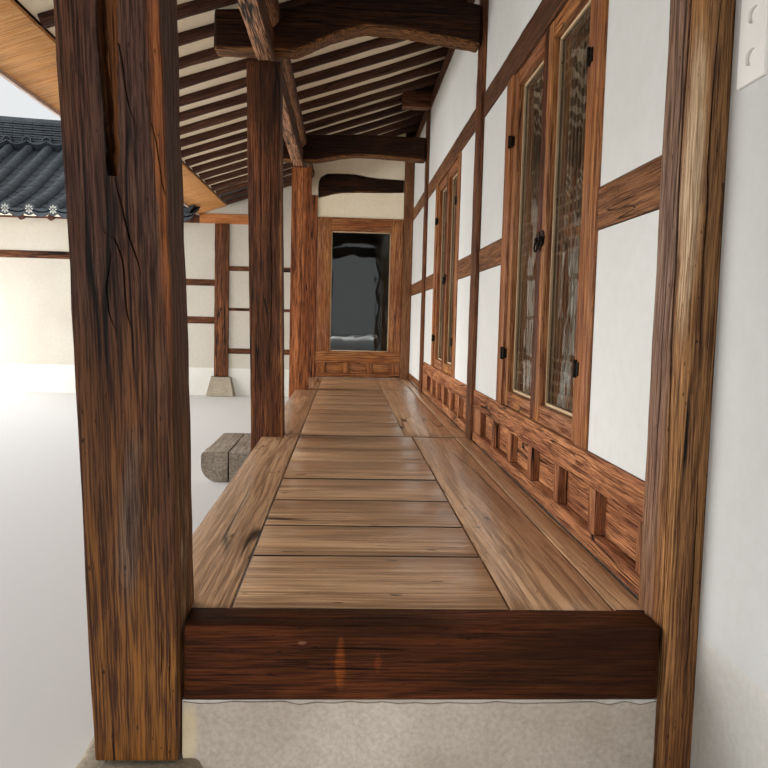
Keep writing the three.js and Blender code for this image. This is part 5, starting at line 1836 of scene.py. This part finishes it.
@dataclass
class TileShapes:
    """The few shapes that the roofs repeat, modelled once, lying along Y with their lower end at y = 0."""

    length: float = 0.29
    cover_radius: float = 0.075
    pan_radius: float = 0.24
    pan_sag: float = 0.05
    thickness: float = 0.016

    def arc(self, radius: float, sides: int, keep: float, upper: bool) -> Mesh:
        """Part of a tube's wall.

        Args:
            radius: Radius of the tube.
            sides: Faces of the whole tube.
            keep: Height of the cut over the tube's axis.
            upper: Whether the part over the cut stays.

        Returns:
            The curved shell, closed by its thickness.
        """
        item = disc(radius, self.length, sides, (0, self.length / 2, 0), (math.pi / 2, 0, 0),
                    end_fill_type="NOTHING")
        cut_level(item, keep, upper, False)
        return modify(item, "SOLIDIFY", thickness=self.thickness, offset=-1 if upper else 0)

    def cover(self) -> Mesh:
        """A half-round cover tile."""
        return self.arc(self.cover_radius, 12, 0.0, True)

    def pan(self) -> Mesh:
        """A shallow pan tile, lowest in its middle."""
        item = self.arc(self.pan_radius, 28, self.pan_sag - self.pan_radius, False)
        item.data.transform(Matrix.Translation((0, 0, self.pan_radius)))
        return item

    def rosette(self, radius: float, material: bpy.types.Material) -> Mesh:
        """A ring of plain petals on a disc that faces down the slope."""
        plate = disc(radius, 0.02, 20, (0, 0.01, 0), (math.pi / 2, 0, 0))
        open_edit(plate, lambda centre, normal: normal.y < -0.9, True)
        bpy.ops.mesh.inset(thickness=radius * 0.16)
        bpy.ops.transform.translate(value=(0, 0.005, 0))
        bpy.ops.object.mode_set(mode="OBJECT")
        petals = []
        for i in range(9):
            turn = i * math.tau / 8
            bpy.ops.mesh.primitive_ico_sphere_add(subdivisions=1, radius=1)
            petal = bpy.context.object
            if i < 8:
                petal.scale = (radius * 0.16, 0.006, radius * 0.3)
                petal.rotation_euler = (0, turn, 0)
                petal.location = (math.sin(turn) * radius * 0.48, 0.004, math.cos(turn) * radius * 0.48)
            else:
                petal.scale = (radius * 0.16, 0.007, radius * 0.16)
                petal.location = (0, 0.004, 0)
            petals.append(settle(petal))
        flower = join(petals)
        flower.data.materials.append(material)
        return join([plate, flower])


@dataclass(frozen=True)
class Tile:
    """A tile to repeat, the one at the eave, its height over the roof's top line and its extra lean."""

    whole: Mesh
    end: Mesh | None
    lift: float
    tilt: float = 0.0


@dataclass
class RoofSlope:
    """One slope of tiles: its profile, ridge and the directions down and along it."""

    name: str
    profile: Profile
    ridge: Vector
    down: Vector
    covers: Sequence[float]
    pans: Sequence[float]
    exposed: float = 0.235
    short: float = 0.0
    hidden: Callable[[Vector], bool] = lambda place: False

    @property
    def along(self) -> Vector:
        """Direction of the ridge, to the right of someone who looks up the slope."""
        return Vector((-self.down.y, self.down.x, 0))

    def matrix(self, distance: float, height: float, angle: float, tilt: float) -> Matrix:
        """Place and turn of a tile, whose ends stand upright on any slope.

        Args:
            distance: Distance from the ridge, level.
            height: Height of the tile's lower end.
            angle: Slope of the roof there.
            tilt: Extra lean of the tile.

        Returns:
            The matrix from the tile's own frame.
        """
        lean = angle + tilt
        up_slope = -self.down * math.cos(lean) + Vector((0, 0, math.sin(lean)))
        normal = self.along.cross(up_slope)
        turn = Matrix((self.along, up_slope, normal)).transposed().to_4x4()
        place = self.ridge + self.down * distance
        place.z = height
        upright_ends = Matrix.Identity(4)
        upright_ends[1][2] = math.tan(lean)
        return Matrix.Translation(place) @ turn @ upright_ends

    def column(self, tile: Tile, count: int) -> Mesh:
        """One row of tiles from the ridge down.

        Args:
            tile: The tile, which rests on the next one down.
            count: Number of tiles to keep, counted from the ridge.

        Returns:
            The row.
        """
        stations = self.profile.stations(self.exposed, self.short)
        keep = stations[-count:] if count < len(stations) else stations
        pieces = []
        for distance, height, angle in keep:
            last = count >= len(stations) and distance == stations[0][0]
            piece = twin(tile.end if last and tile.end else tile.whole)
            piece.data.transform(self.matrix(distance, height + tile.lift, angle, tile.tilt))
            pieces.append(piece)
        return join(pieces)

    def rows_at(self, offset: float) -> int:
        """Number of tiles of a row that the other roof leaves open."""
        stations = self.profile.stations(self.exposed, self.short)
        count = 0
        for distance, height, _ in reversed(stations):
            place = self.ridge + self.down * distance + self.along * offset
            place.z = height
            if self.hidden(place):
                break
            count += 1
        return count

    def lay(self, tile: Tile, offsets: Sequence[float]) -> Mesh:
        """Lay all rows of one kind of tile.

        Args:
            tile: The tile.
            offsets: Places of the rows along the ridge.

        Returns:
            The rows in one mesh.
        """
        rows: dict[int, Mesh] = {}
        pieces = []
        for offset in offsets:
            kept = self.rows_at(offset)
            if kept < 1:
                continue
            if kept not in rows:
                rows[kept] = self.column(tile, kept)
            pieces.append(twin(rows[kept], self.along * offset))
        for row in rows.values():
            bpy.data.objects.remove(row)
        return join(pieces)


@dataclass
class Roofs(Part):
    """Both roofs: bed, tiles, ridges, verges and gable boards."""

    seed: int = 71
    eave_slope: float = 0.33
    upper_slope: float = 0.58
    back_slope: float = 0.38
    wing_eave_slope: float = 0.37
    wing_upper_slope: float = 0.52
    purlin_drop: float = 0.037
    front_cover: tuple[float, ...] = (0.33, 0.27, 0.195, 0.15)
    back_cover: tuple[float, ...] = (0.33, 0.25, 0.15)
    wing_cover: tuple[float, ...] = (0.29, 0.19, 0.14)
    ridge_width: float = 0.22
    ridge_height: float = 0.33
    ridge_lift: float = 0.125
    course: float = 0.036
    inset: float = 0.05
    tile_short: float = 0.008
    verge_short: float = 0.008
    verge: float = 0.235
    row_pitch: float = 0.3
    pan_lift: float = -0.115
    cover_lift: float = -0.075
    tilt: float = -0.05

    def __post_init__(self) -> None:
        """Work out the roof lines from the CAD nodes."""
        super().__post_init__()
        self.main = Box.of("main_roof")
        self.wing = Box.of("wing_roof")
        self.wall_y = Box.of("wall_post_a").centre.y
        self.back_y = Box.of("back_post_near").centre.y
        self.ridge_y = (self.wall_y + self.back_y) / 2
        post_x = Box.of("wing_post_1").centre.x
        self.wing_x = (post_x + Box.of("wing_post_3").centre.x) / 2
        self.wing_half = post_x - self.wing_x
        self.wing_edge = self.wing.hi[0] - self.wing_x
        purlin_y = Box.of("post_e").centre.y - self.purlin_drop
        front = zip((self.ridge_y, self.wall_y, purlin_y, self.main.lo[1]), self.front_cover)
        back = zip((self.ridge_y, self.back_y, self.main.hi[1]), self.back_cover)
        side = zip((0, self.wing_half, self.wing_edge), self.wing_cover)
        self.front = Profile([(self.ridge_y - y, self.under_main(y) + cover) for y, cover in front])
        self.back = Profile([(y - self.ridge_y, self.under_main(y) + cover) for y, cover in back])
        self.side = Profile([(a, self.under_wing(a) + cover) for a, cover in side])

    def under_main(self, y: float) -> float:
        """Height of the main roof's underside."""
        eave = self.main.lo[2]
        wall = eave + self.eave_slope * (self.wall_y - self.main.lo[1])
        if y <= self.wall_y:
            return eave + self.eave_slope * (y - self.main.lo[1])
        if y <= self.ridge_y:
            return wall + self.upper_slope * (y - self.wall_y)
        if y <= self.back_y:
            return wall + self.upper_slope * (self.back_y - y)
        return wall - self.back_slope * (y - self.back_y)

    def under_wing(self, a: float) -> float:
        """Height of the wing roof's underside at a distance from its middle."""
        wall = self.wing.lo[2] + self.wing_eave_slope * (self.wing_edge - self.wing_half)
        if a > self.wing_half:
            return wall - self.wing_eave_slope * (a - self.wing_half)
        return wall + self.wing_upper_slope * (self.wing_half - a)

    def top_main(self, y: float) -> float:
        """Height of the main roof's tiles."""
        return self.front.height(self.ridge_y - y) if y < self.ridge_y else self.back.height(y - self.ridge_y)

    def top_wing(self, x: float) -> float:
        """Height of the wing roof's tiles."""
        return self.side.height(abs(x - self.wing_x))

    def sheet(self, name: str, x: Sequence[float], y: Sequence[float], cells: tuple[int, int],
              height: Callable[[float, float], float], thickness: float, *replaces: str) -> None:
        """A curved sheet of clay or plaster with a thickness, hung below a height function.

        Args:
            name: Name of the piece.
            x: Range along X.
            y: Range along Y.
            cells: Cells along X and Y.
            height: Height of the upper side at a place.
            thickness: Thickness below it.
            replaces: CAD nodes that it stands for.
        """
        centre = ((x[0] + x[1]) / 2, (y[0] + y[1]) / 2, 0)
        bpy.ops.mesh.primitive_grid_add(size=1, location=centre, x_subdivisions=cells[0],
                                        y_subdivisions=cells[1])
        item = bpy.context.object
        item.scale = (x[1] - x[0], y[1] - y[0], 1)
        settle(item)
        points = points_of(item)
        points[:, 2] = [height(px, py) for px, py, _ in points]
        set_points(item, points)
        modify(item, "SOLIDIFY", thickness=thickness, offset=-1)
        looks = ("roof_clay", "tile") if replaces else ("cream_plaster", "plaster")
        self.finish(item, name, *looks, *replaces)

    def beds(self) -> None:
        """Beds under the tiles, and the plaster seen from below."""
        x, y = ((low + self.inset, high - self.inset) for low, high in self.main.ranges[:2])
        self.sheet("main_roof_bed", x, y, (2, 60), lambda px, py: self.top_main(py) - 0.125, 0.022,
                   "main_roof")
        rooms = (self.wall_y, self.back_y)
        near, far = Box.of("near_end_wall").hi[0], Box.of("far_end_wall").lo[0]
        eave_y = (self.main.lo[1] + 0.42, self.wall_y + 0.1)
        for name, x_range, y_range, cells, drop in (
            ("eave_plaster", (Box.of("wing_court_wall").hi[0], x[1]), eave_y, 4, 0.012),
            ("back_eave_plaster", x, (self.back_y - 0.1, y[1]), 4, 0.012),
            ("near_gable_plaster", (near - 0.05, x[1]), rooms, 12, 0.004),
            ("far_gable_plaster", (x[0], far + 0.05), rooms, 12, 0.004),
        ):
            self.sheet(name, x_range, y_range, (2, cells), lambda px, py: self.under_main(py) - drop, 0.03)
        wing_x = (self.wing_x - self.wing_edge + self.inset, self.wing_x + self.wing_edge - self.inset)
        near_y = self.wing.lo[1] + self.inset
        self.sheet("wing_plaster", wing_x, (near_y, self.main.lo[1] - 0.01), (32, 2),
                   lambda px, py: self.under_wing(abs(px - self.wing_x)) - 0.008, 0.03)
        self.sheet("wing_roof_bed", wing_x, (near_y, self.wing.hi[1]), (48, 60), self.wing_bed_height, 0.05,
                   "wing_roof")

    def wing_bed_height(self, x: float, y: float) -> float:
        """Height of the wing's bed, which dives under the main roof's where they meet."""
        height = self.top_wing(x) - 0.13
        return max(height, self.top_main(y) - 0.17) if y > self.main.lo[1] else height

    def slopes(self) -> list[RoofSlope]:
        """The four tiled slopes, with the rows spaced between the verges.

        Returns:
            The slopes.
        """
        peak = self.front.height(0)
        wing_peak = self.side.height(0)
        length, wing_length = self.main.size.x, self.wing.size.y
        span = length - 2 * self.verge
        count = round(span / self.row_pitch)
        covers = [self.verge + span / count * i for i in range(1, count)]
        pans = [self.verge + span / count * (i + 0.5) for i in range(count)]
        wing_span = self.main.lo[1] - self.wing.lo[1] - self.verge
        pitch = wing_span / (round(wing_span / self.row_pitch - 0.5) + 0.5)
        wing_count = int((wing_length - self.verge - 0.2) / pitch)
        wing_covers = [self.verge + pitch * i for i in range(1, wing_count + 1)]
        wing_pans = [self.verge + pitch * (i + 0.5) for i in range(wing_count + 1)]

        def under_wing_tiles(place: Vector) -> bool:
            """Whether a place of the front slope lies under the wing's tiles or its ridge."""
            aside = abs(place.x - self.wing_x)
            ridge = aside < 0.2 and place.y < self.wing.hi[1] + 0.02 and place.z < wing_peak + 0.45
            return ridge or (aside < self.wing_edge and self.top_wing(place.x) > place.z - 0.02)

        def under_main_tiles(place: Vector) -> bool:
            """Whether a place of the wing lies under the main roof's tiles."""
            return place.y > self.main.lo[1] and self.top_main(place.y) > place.z - 0.02

        left, right, ridge_y = self.main.lo[0], self.main.hi[0], self.ridge_y
        low, high = (Vector((self.wing_x, y, wing_peak)) for y in self.wing.ranges[1])
        outer = [[wing_length - a for a in rows] for rows in (wing_covers, wing_pans)]
        short = self.tile_short
        return [
            RoofSlope("front", self.front, Vector((left, ridge_y, peak)), Vector((0, -1, 0)), covers, pans,
                      hidden=under_wing_tiles),
            RoofSlope("back", self.back, Vector((right, ridge_y, peak)), Vector((0, 1, 0)), covers, pans,
                      short=short),
            RoofSlope("court", self.side, low, Vector((1, 0, 0)), wing_covers, wing_pans,
                      hidden=under_main_tiles),
            RoofSlope("outer", self.side, high, Vector((-1, 0, 0)), *outer, short=short,
                      hidden=under_main_tiles),
        ]

    def tiles(self) -> None:
        """Lay the tiles of all slopes."""
        shapes = TileShapes()
        clay = self.palette["roof_clay"]
        cover, pan = shapes.cover(), shapes.pan()
        for shape in (cover, pan):
            shape.data.materials.append(clay)
        rosette = shapes.rosette(shapes.cover_radius + 0.004, self.palette["pale_clay"])
        rosette.data.materials[0] = clay
        cover_end = join([twin(cover), rosette])
        pan_end = join([twin(pan), self.apron(clay)])
        pan_tile = Tile(pan, pan_end, self.pan_lift, self.tilt)
        cover_tile = Tile(cover, cover_end, self.cover_lift, self.tilt)
        for slope in self.slopes():
            self.finish(slope.lay(pan_tile, slope.pans), f"pan_tiles_{slope.name}", "", "tile")
            self.finish(slope.lay(cover_tile, slope.covers), f"cover_tiles_{slope.name}", "", "tile")
        for shape in (cover, pan, cover_end, pan_end):
            bpy.data.objects.remove(shape)

    @staticmethod
    def apron(clay: bpy.types.Material) -> Mesh:
        """Half-moon plate of clay that hangs from the lowest pan tile and faces down the slope."""
        plate = disc(0.135, 0.016, 28, (0, 0.008, 0.075), (math.pi / 2, 0, 0))
        cut_level(plate, 0.045, False)
        ease(plate, 0.003, angle=1.2)
        plate.data.materials.append(clay)
        return plate

    def ridges(self) -> None:
        """Stacked courses of the ridges with cover tiles on top."""
        self.ridge("main_ridge", Axis.X, self.main.ranges[0], self.ridge_y, self.front.height(0))
        self.ridge("wing_ridge", Axis.Y, self.wing.ranges[1], self.wing_x, self.side.height(0))

    def ridge(self, name: str, run: Axis, span: Sequence[float], across: float, base: float) -> None:
        """Build one ridge.

        Args:
            name: Name of the piece.
            run: Axis along the ridge.
            span: Its two ends.
            across: Its place on the other axis.
            base: Height of the roof's peak.
        """
        length = span[1] - span[0]
        count = int(length / 0.3)
        pitch = length / count
        half = self.ridge_width / 2
        pieces = []
        courses = int((self.ridge_height - 0.07) / self.course)
        for i in range(-2, courses):
            odd = i % 2
            width = half - 0.012 * odd
            z = base + i * self.course
            slab = block(Box((0.0, -width, z + 0.004), (pitch - 0.006, width, z + self.course - 0.006)))
            modify(slab, "BEVEL", width=0.004, segments=1)
            repeat(slab, count - odd, (pitch, 0, 0))
            slab.data.transform(Matrix.Translation((pitch / 2 * odd, 0, 0)))
            pieces.append(slab)
        top = base + courses * self.course
        cap = disc(0.085, pitch + 0.01, 14, (pitch / 2, 0, top), (0, math.pi / 2, 0))
        cut_level(cap, top, True)
        ease(cap, 0.006, angle=1.2)
        item = join([*pieces, repeat(cap, count, (pitch, 0, 0))])
        points = points_of(item)
        share = (points[:, 0] - length / 2) / (length / 2)
        points[:, 2] += self.ridge_lift * share ** 2
        along = np.clip(points[:, 0], 0, length)
        if run is Axis.X:
            placed = np.stack([span[0] + along, across + points[:, 1], points[:, 2]], axis=1)
        else:
            placed = np.stack([across - points[:, 1], span[0] + along, points[:, 2]], axis=1)
        set_points(item, placed)
        self.finish(item, name, "roof_clay", "tile")

    def verges(self) -> None:
        """Raised rows of tiles on stacked slabs down the gables."""
        cap = TileShapes(cover_radius=0.09, length=0.27).cover()
        cap.data.transform(Matrix.Translation((0, 0, 0.17)) @ Matrix.Diagonal((1, 1, 0.6, 1)))
        stack = [cap]
        for i in range(5):
            half = 0.103 - 0.007 * (i % 2)
            slab = block(Box.span((-half, half), (0.0, 0.232), (i * 0.034, i * 0.034 + 0.027)))
            modify(slab, "BEVEL", width=0.004, segments=1)
            stack.append(slab)
        unit = join(stack)
        tile = Tile(unit, None, self.cover_lift)
        reach = self.main.size.x
        peak = self.front.height(0)
        pieces = []
        for profile, way, x in ((self.front, -1, self.main.lo[0]), (self.back, 1, self.main.hi[0])):
            slope = self.verge_slope(profile, Vector((x, self.ridge_y, peak)), Vector((0, way, 0)))
            row = slope.column(tile, 99)
            pieces.append(twin(row, slope.along * self.verge))
            pieces.append(twin(row, slope.along * (reach - self.verge)))
            bpy.data.objects.remove(row)
        self.finish(pieces, "main_verges", "roof_clay", "tile")
        origin = Vector((self.wing_x, self.wing.lo[1] + self.verge, self.side.height(0)))
        rows = [self.verge_slope(self.side, origin, Vector((way, 0, 0))).column(tile, 99) for way in (1, -1)]
        self.finish(rows, "wing_verge", "roof_clay", "tile")
        bpy.data.objects.remove(unit)

    def verge_slope(self, profile: Profile, ridge: Vector, down: Vector) -> RoofSlope:
        """The slope that carries a verge."""
        return RoofSlope("verge", profile, ridge, down, [], [], short=self.verge_short)

    def gable_boards(self) -> None:
        """Boards that close the gable edges of the roofs."""
        run = (self.main.lo[1] + 0.03, self.main.hi[1] - 0.03)
        for name, x in (("near", self.main.hi[0] - 0.06), ("far", self.main.lo[0] + 0.06)):
            strip = self.gable_strip(run, 64, self.top_main, self.under_main)
            self.upright(strip, Axis.X, x, f"{name}_barge_boards")
        strip = self.gable_strip((-self.wing_edge + 0.03, self.wing_edge - 0.03), 48,
                                 lambda a: self.side.height(abs(a)), lambda a: self.under_wing(abs(a)))
        self.upright(strip, Axis.Y, self.wing.lo[1] + 0.06, "wing_barge_boards")

    @staticmethod
    def gable_strip(span: Sequence[float], cells: int, top: Callable[[float], float],
                    under: Callable[[float], float]) -> Mesh:
        """A flat strip in the (x, z) plane between the roof's upper line and a little below its underside."""
        bpy.ops.mesh.primitive_grid_add(x_subdivisions=cells, y_subdivisions=1, size=1)
        item = bpy.context.object
        points = points_of(item)
        a = span[0] + (points[:, 0] + 0.5) * (span[1] - span[0])
        upper = points[:, 1] > 0
        heights = [top(value) - 0.08 if high else under(value) - 0.05 for value, high in zip(a, upper)]
        set_points(item, np.stack([a, np.zeros(len(a)), np.array(heights)], axis=1))
        return item

    def upright(self, strip: Mesh, face: Axis, place: float, name: str) -> None:
        """Give a gable strip its thickness, turn it to its gable and dress it."""
        modify(strip, "SOLIDIFY", thickness=0.035, offset=0)
        x, y, z = points_of(strip).T
        if face is Axis.X:
            placed, run = (place - y, x, z), Axis.Y
        else:
            placed, run = (self.wing_x + x, place + y, z), Axis.X
        set_points(strip, np.stack(placed, axis=1))
        write_grain(strip, Vector((0, 0, 3)), run, Sawn.SLAB, self.rng, Vector((0.03, 0.03, 0.3)))
        self.finish(strip, name, "rail_timber", "dark_timber")

    def build(self) -> None:
        """Build both roofs."""
        self.beds()
        self.tiles()
        self.ridges()
        self.verges()
        self.gable_boards()


@dataclass
class Step(Part):
    """The free timber step beside the veranda: two thick half-round timbers."""

    seed: int = 79
    belly: float = 0.11
    shoulder: float = 0.035

    def build(self) -> None:
        """Build and dress the step."""
        x, (y0, y1), (_, top) = Box.of("timber_step").ranges
        seam = (y0 + y1) / 2
        pieces = []
        for inner, outer in ((seam - 0.001, y0), (seam + 0.001, y1)):
            box = Box.span(x, sorted((inner, outer)), (0.0, top))
            item = block(box)
            for height, width in ((0.0, self.belly), (top, self.shoulder)):
                middle = Vector((0, outer, height))

                def on_edge(a: Vector, b: Vector) -> bool:
                    """Whether both ends lie on the corner line at this height."""
                    return all((Vector((0, end.y, end.z)) - middle).length < 0.001 for end in (a, b))

                edit(item, bpy.ops.mesh.bevel, on_edge, offset=width, segments=6)
            edit(item, bpy.ops.mesh.subdivide, lambda a, b: abs(a.x - b.x) > 0.5, number_cuts=11)
            ease(item, 0.004, 2)
            roughen(item, 0.009, 0.14)
            write_grain(item, box.centre, Axis.X, Sawn.SLAB, self.rng, box.size)
            pieces.append(item)
        self.finish(pieces, "weathered_step", "step_timber", "grey_timber", "timber_step")


@dataclass
class Studio:
    """Camera at the photograph's angle, pale floor and soft light."""

    eye: tuple[float, float, float] = (6.593, 0.789, 1.150)
    yaw: float = 0.0518
    pitch: float = 0.0826
    roll: float = 0.0249
    lens: float = 36.16
    sky: float = 0.85

    def camera(self) -> None:
        """Place the camera."""
        yaw, pitch, roll = self.yaw, self.pitch, self.roll
        level = math.cos(pitch)
        forward = Vector((-level * math.cos(yaw), level * math.sin(yaw), -math.sin(pitch)))
        right = Vector((math.sin(yaw), math.cos(yaw), 0))
        up = right.cross(forward)
        side = right * math.cos(roll) + up * math.sin(roll)
        top = up * math.cos(roll) - right * math.sin(roll)
        data = bpy.data.cameras.new("view")
        data.lens = self.lens
        data.sensor_width = 36
        data.clip_end = 300
        item = bpy.data.objects.new("view", data)
        bpy.context.scene.collection.objects.link(item)
        item.matrix_world = Matrix.Translation(self.eye) @ Matrix((side, top, -forward)).transposed().to_4x4()
        bpy.context.scene.camera = item

    def light(self, name: str, place: Sequence[float], aim: Sequence[float], size: Sequence[float],
              power: float) -> None:
        """Add one large soft light, which mirrors don't show."""
        data = bpy.data.lights.new(name, "AREA")
        data.shape = "RECTANGLE"
        data.size, data.size_y = size
        data.energy = power
        item = bpy.data.objects.new(name, data)
        bpy.context.scene.collection.objects.link(item)
        item.location = place
        item.rotation_euler = (Vector(aim) - Vector(place)).to_track_quat("-Z", "Y").to_euler()
        item.visible_glossy = False
        item.visible_transmission = False

    def build(self) -> None:
        """Set the floor, the sky and the lights."""
        bpy.ops.mesh.primitive_plane_add(size=90, location=(0, 0, -0.001))
        floor = named(settle(bpy.context.object), "studio_floor")
        material, sheet, shader = new_material("studio_floor")
        sheet.feed(shader, {"Base Color": (0.62, 0.61, 0.59, 1), "Roughness": 0.9})
        floor.data.materials.append(material)
        world = bpy.data.worlds.new("soft_sky")
        world.use_nodes = True
        background = world.node_tree.nodes["Background"]
        background.inputs[0].default_value = (0.96, 0.98, 1.0, 1)
        background.inputs[1].default_value = self.sky
        bpy.context.scene.world = world
        self.light("court_light", (-3, -13, 3.6), (0, 1, 1.6), (12, 5), 750)
        self.light("high_light", (-2, -13, 8.2), (0, 1, 0.6), (12, 5), 1700)
        self.light("near_light", (36, 2, 2.2), (0, 1, 1.8), (12, 4), 5400)
        self.light("ground_glow", (-0.5, -5.5, 0.3), (-0.5, 0.6, 3.2), (9, 1.5), 460)
        bpy.context.scene.view_settings.view_transform = "Standard"


def main() -> None:
    """Build the house in order."""
    logging.basicConfig(level=logging.INFO, format="%(name)s: %(message)s", force=True)
    studio = Studio()
    studio.camera()
    palette = Palette()
    for kind in (Posts, Beams, EaveTimbers, Soffit, VerandaFloor, EndSill, RoomWall, FarWall, Masonry,
                 WallTimbers, HiddenRafters, Roofs, Step):
        LOG.info("building %s", kind.__name__)
        kind(palette).build()
    studio.build()


if __name__ == "__main__":
    main()
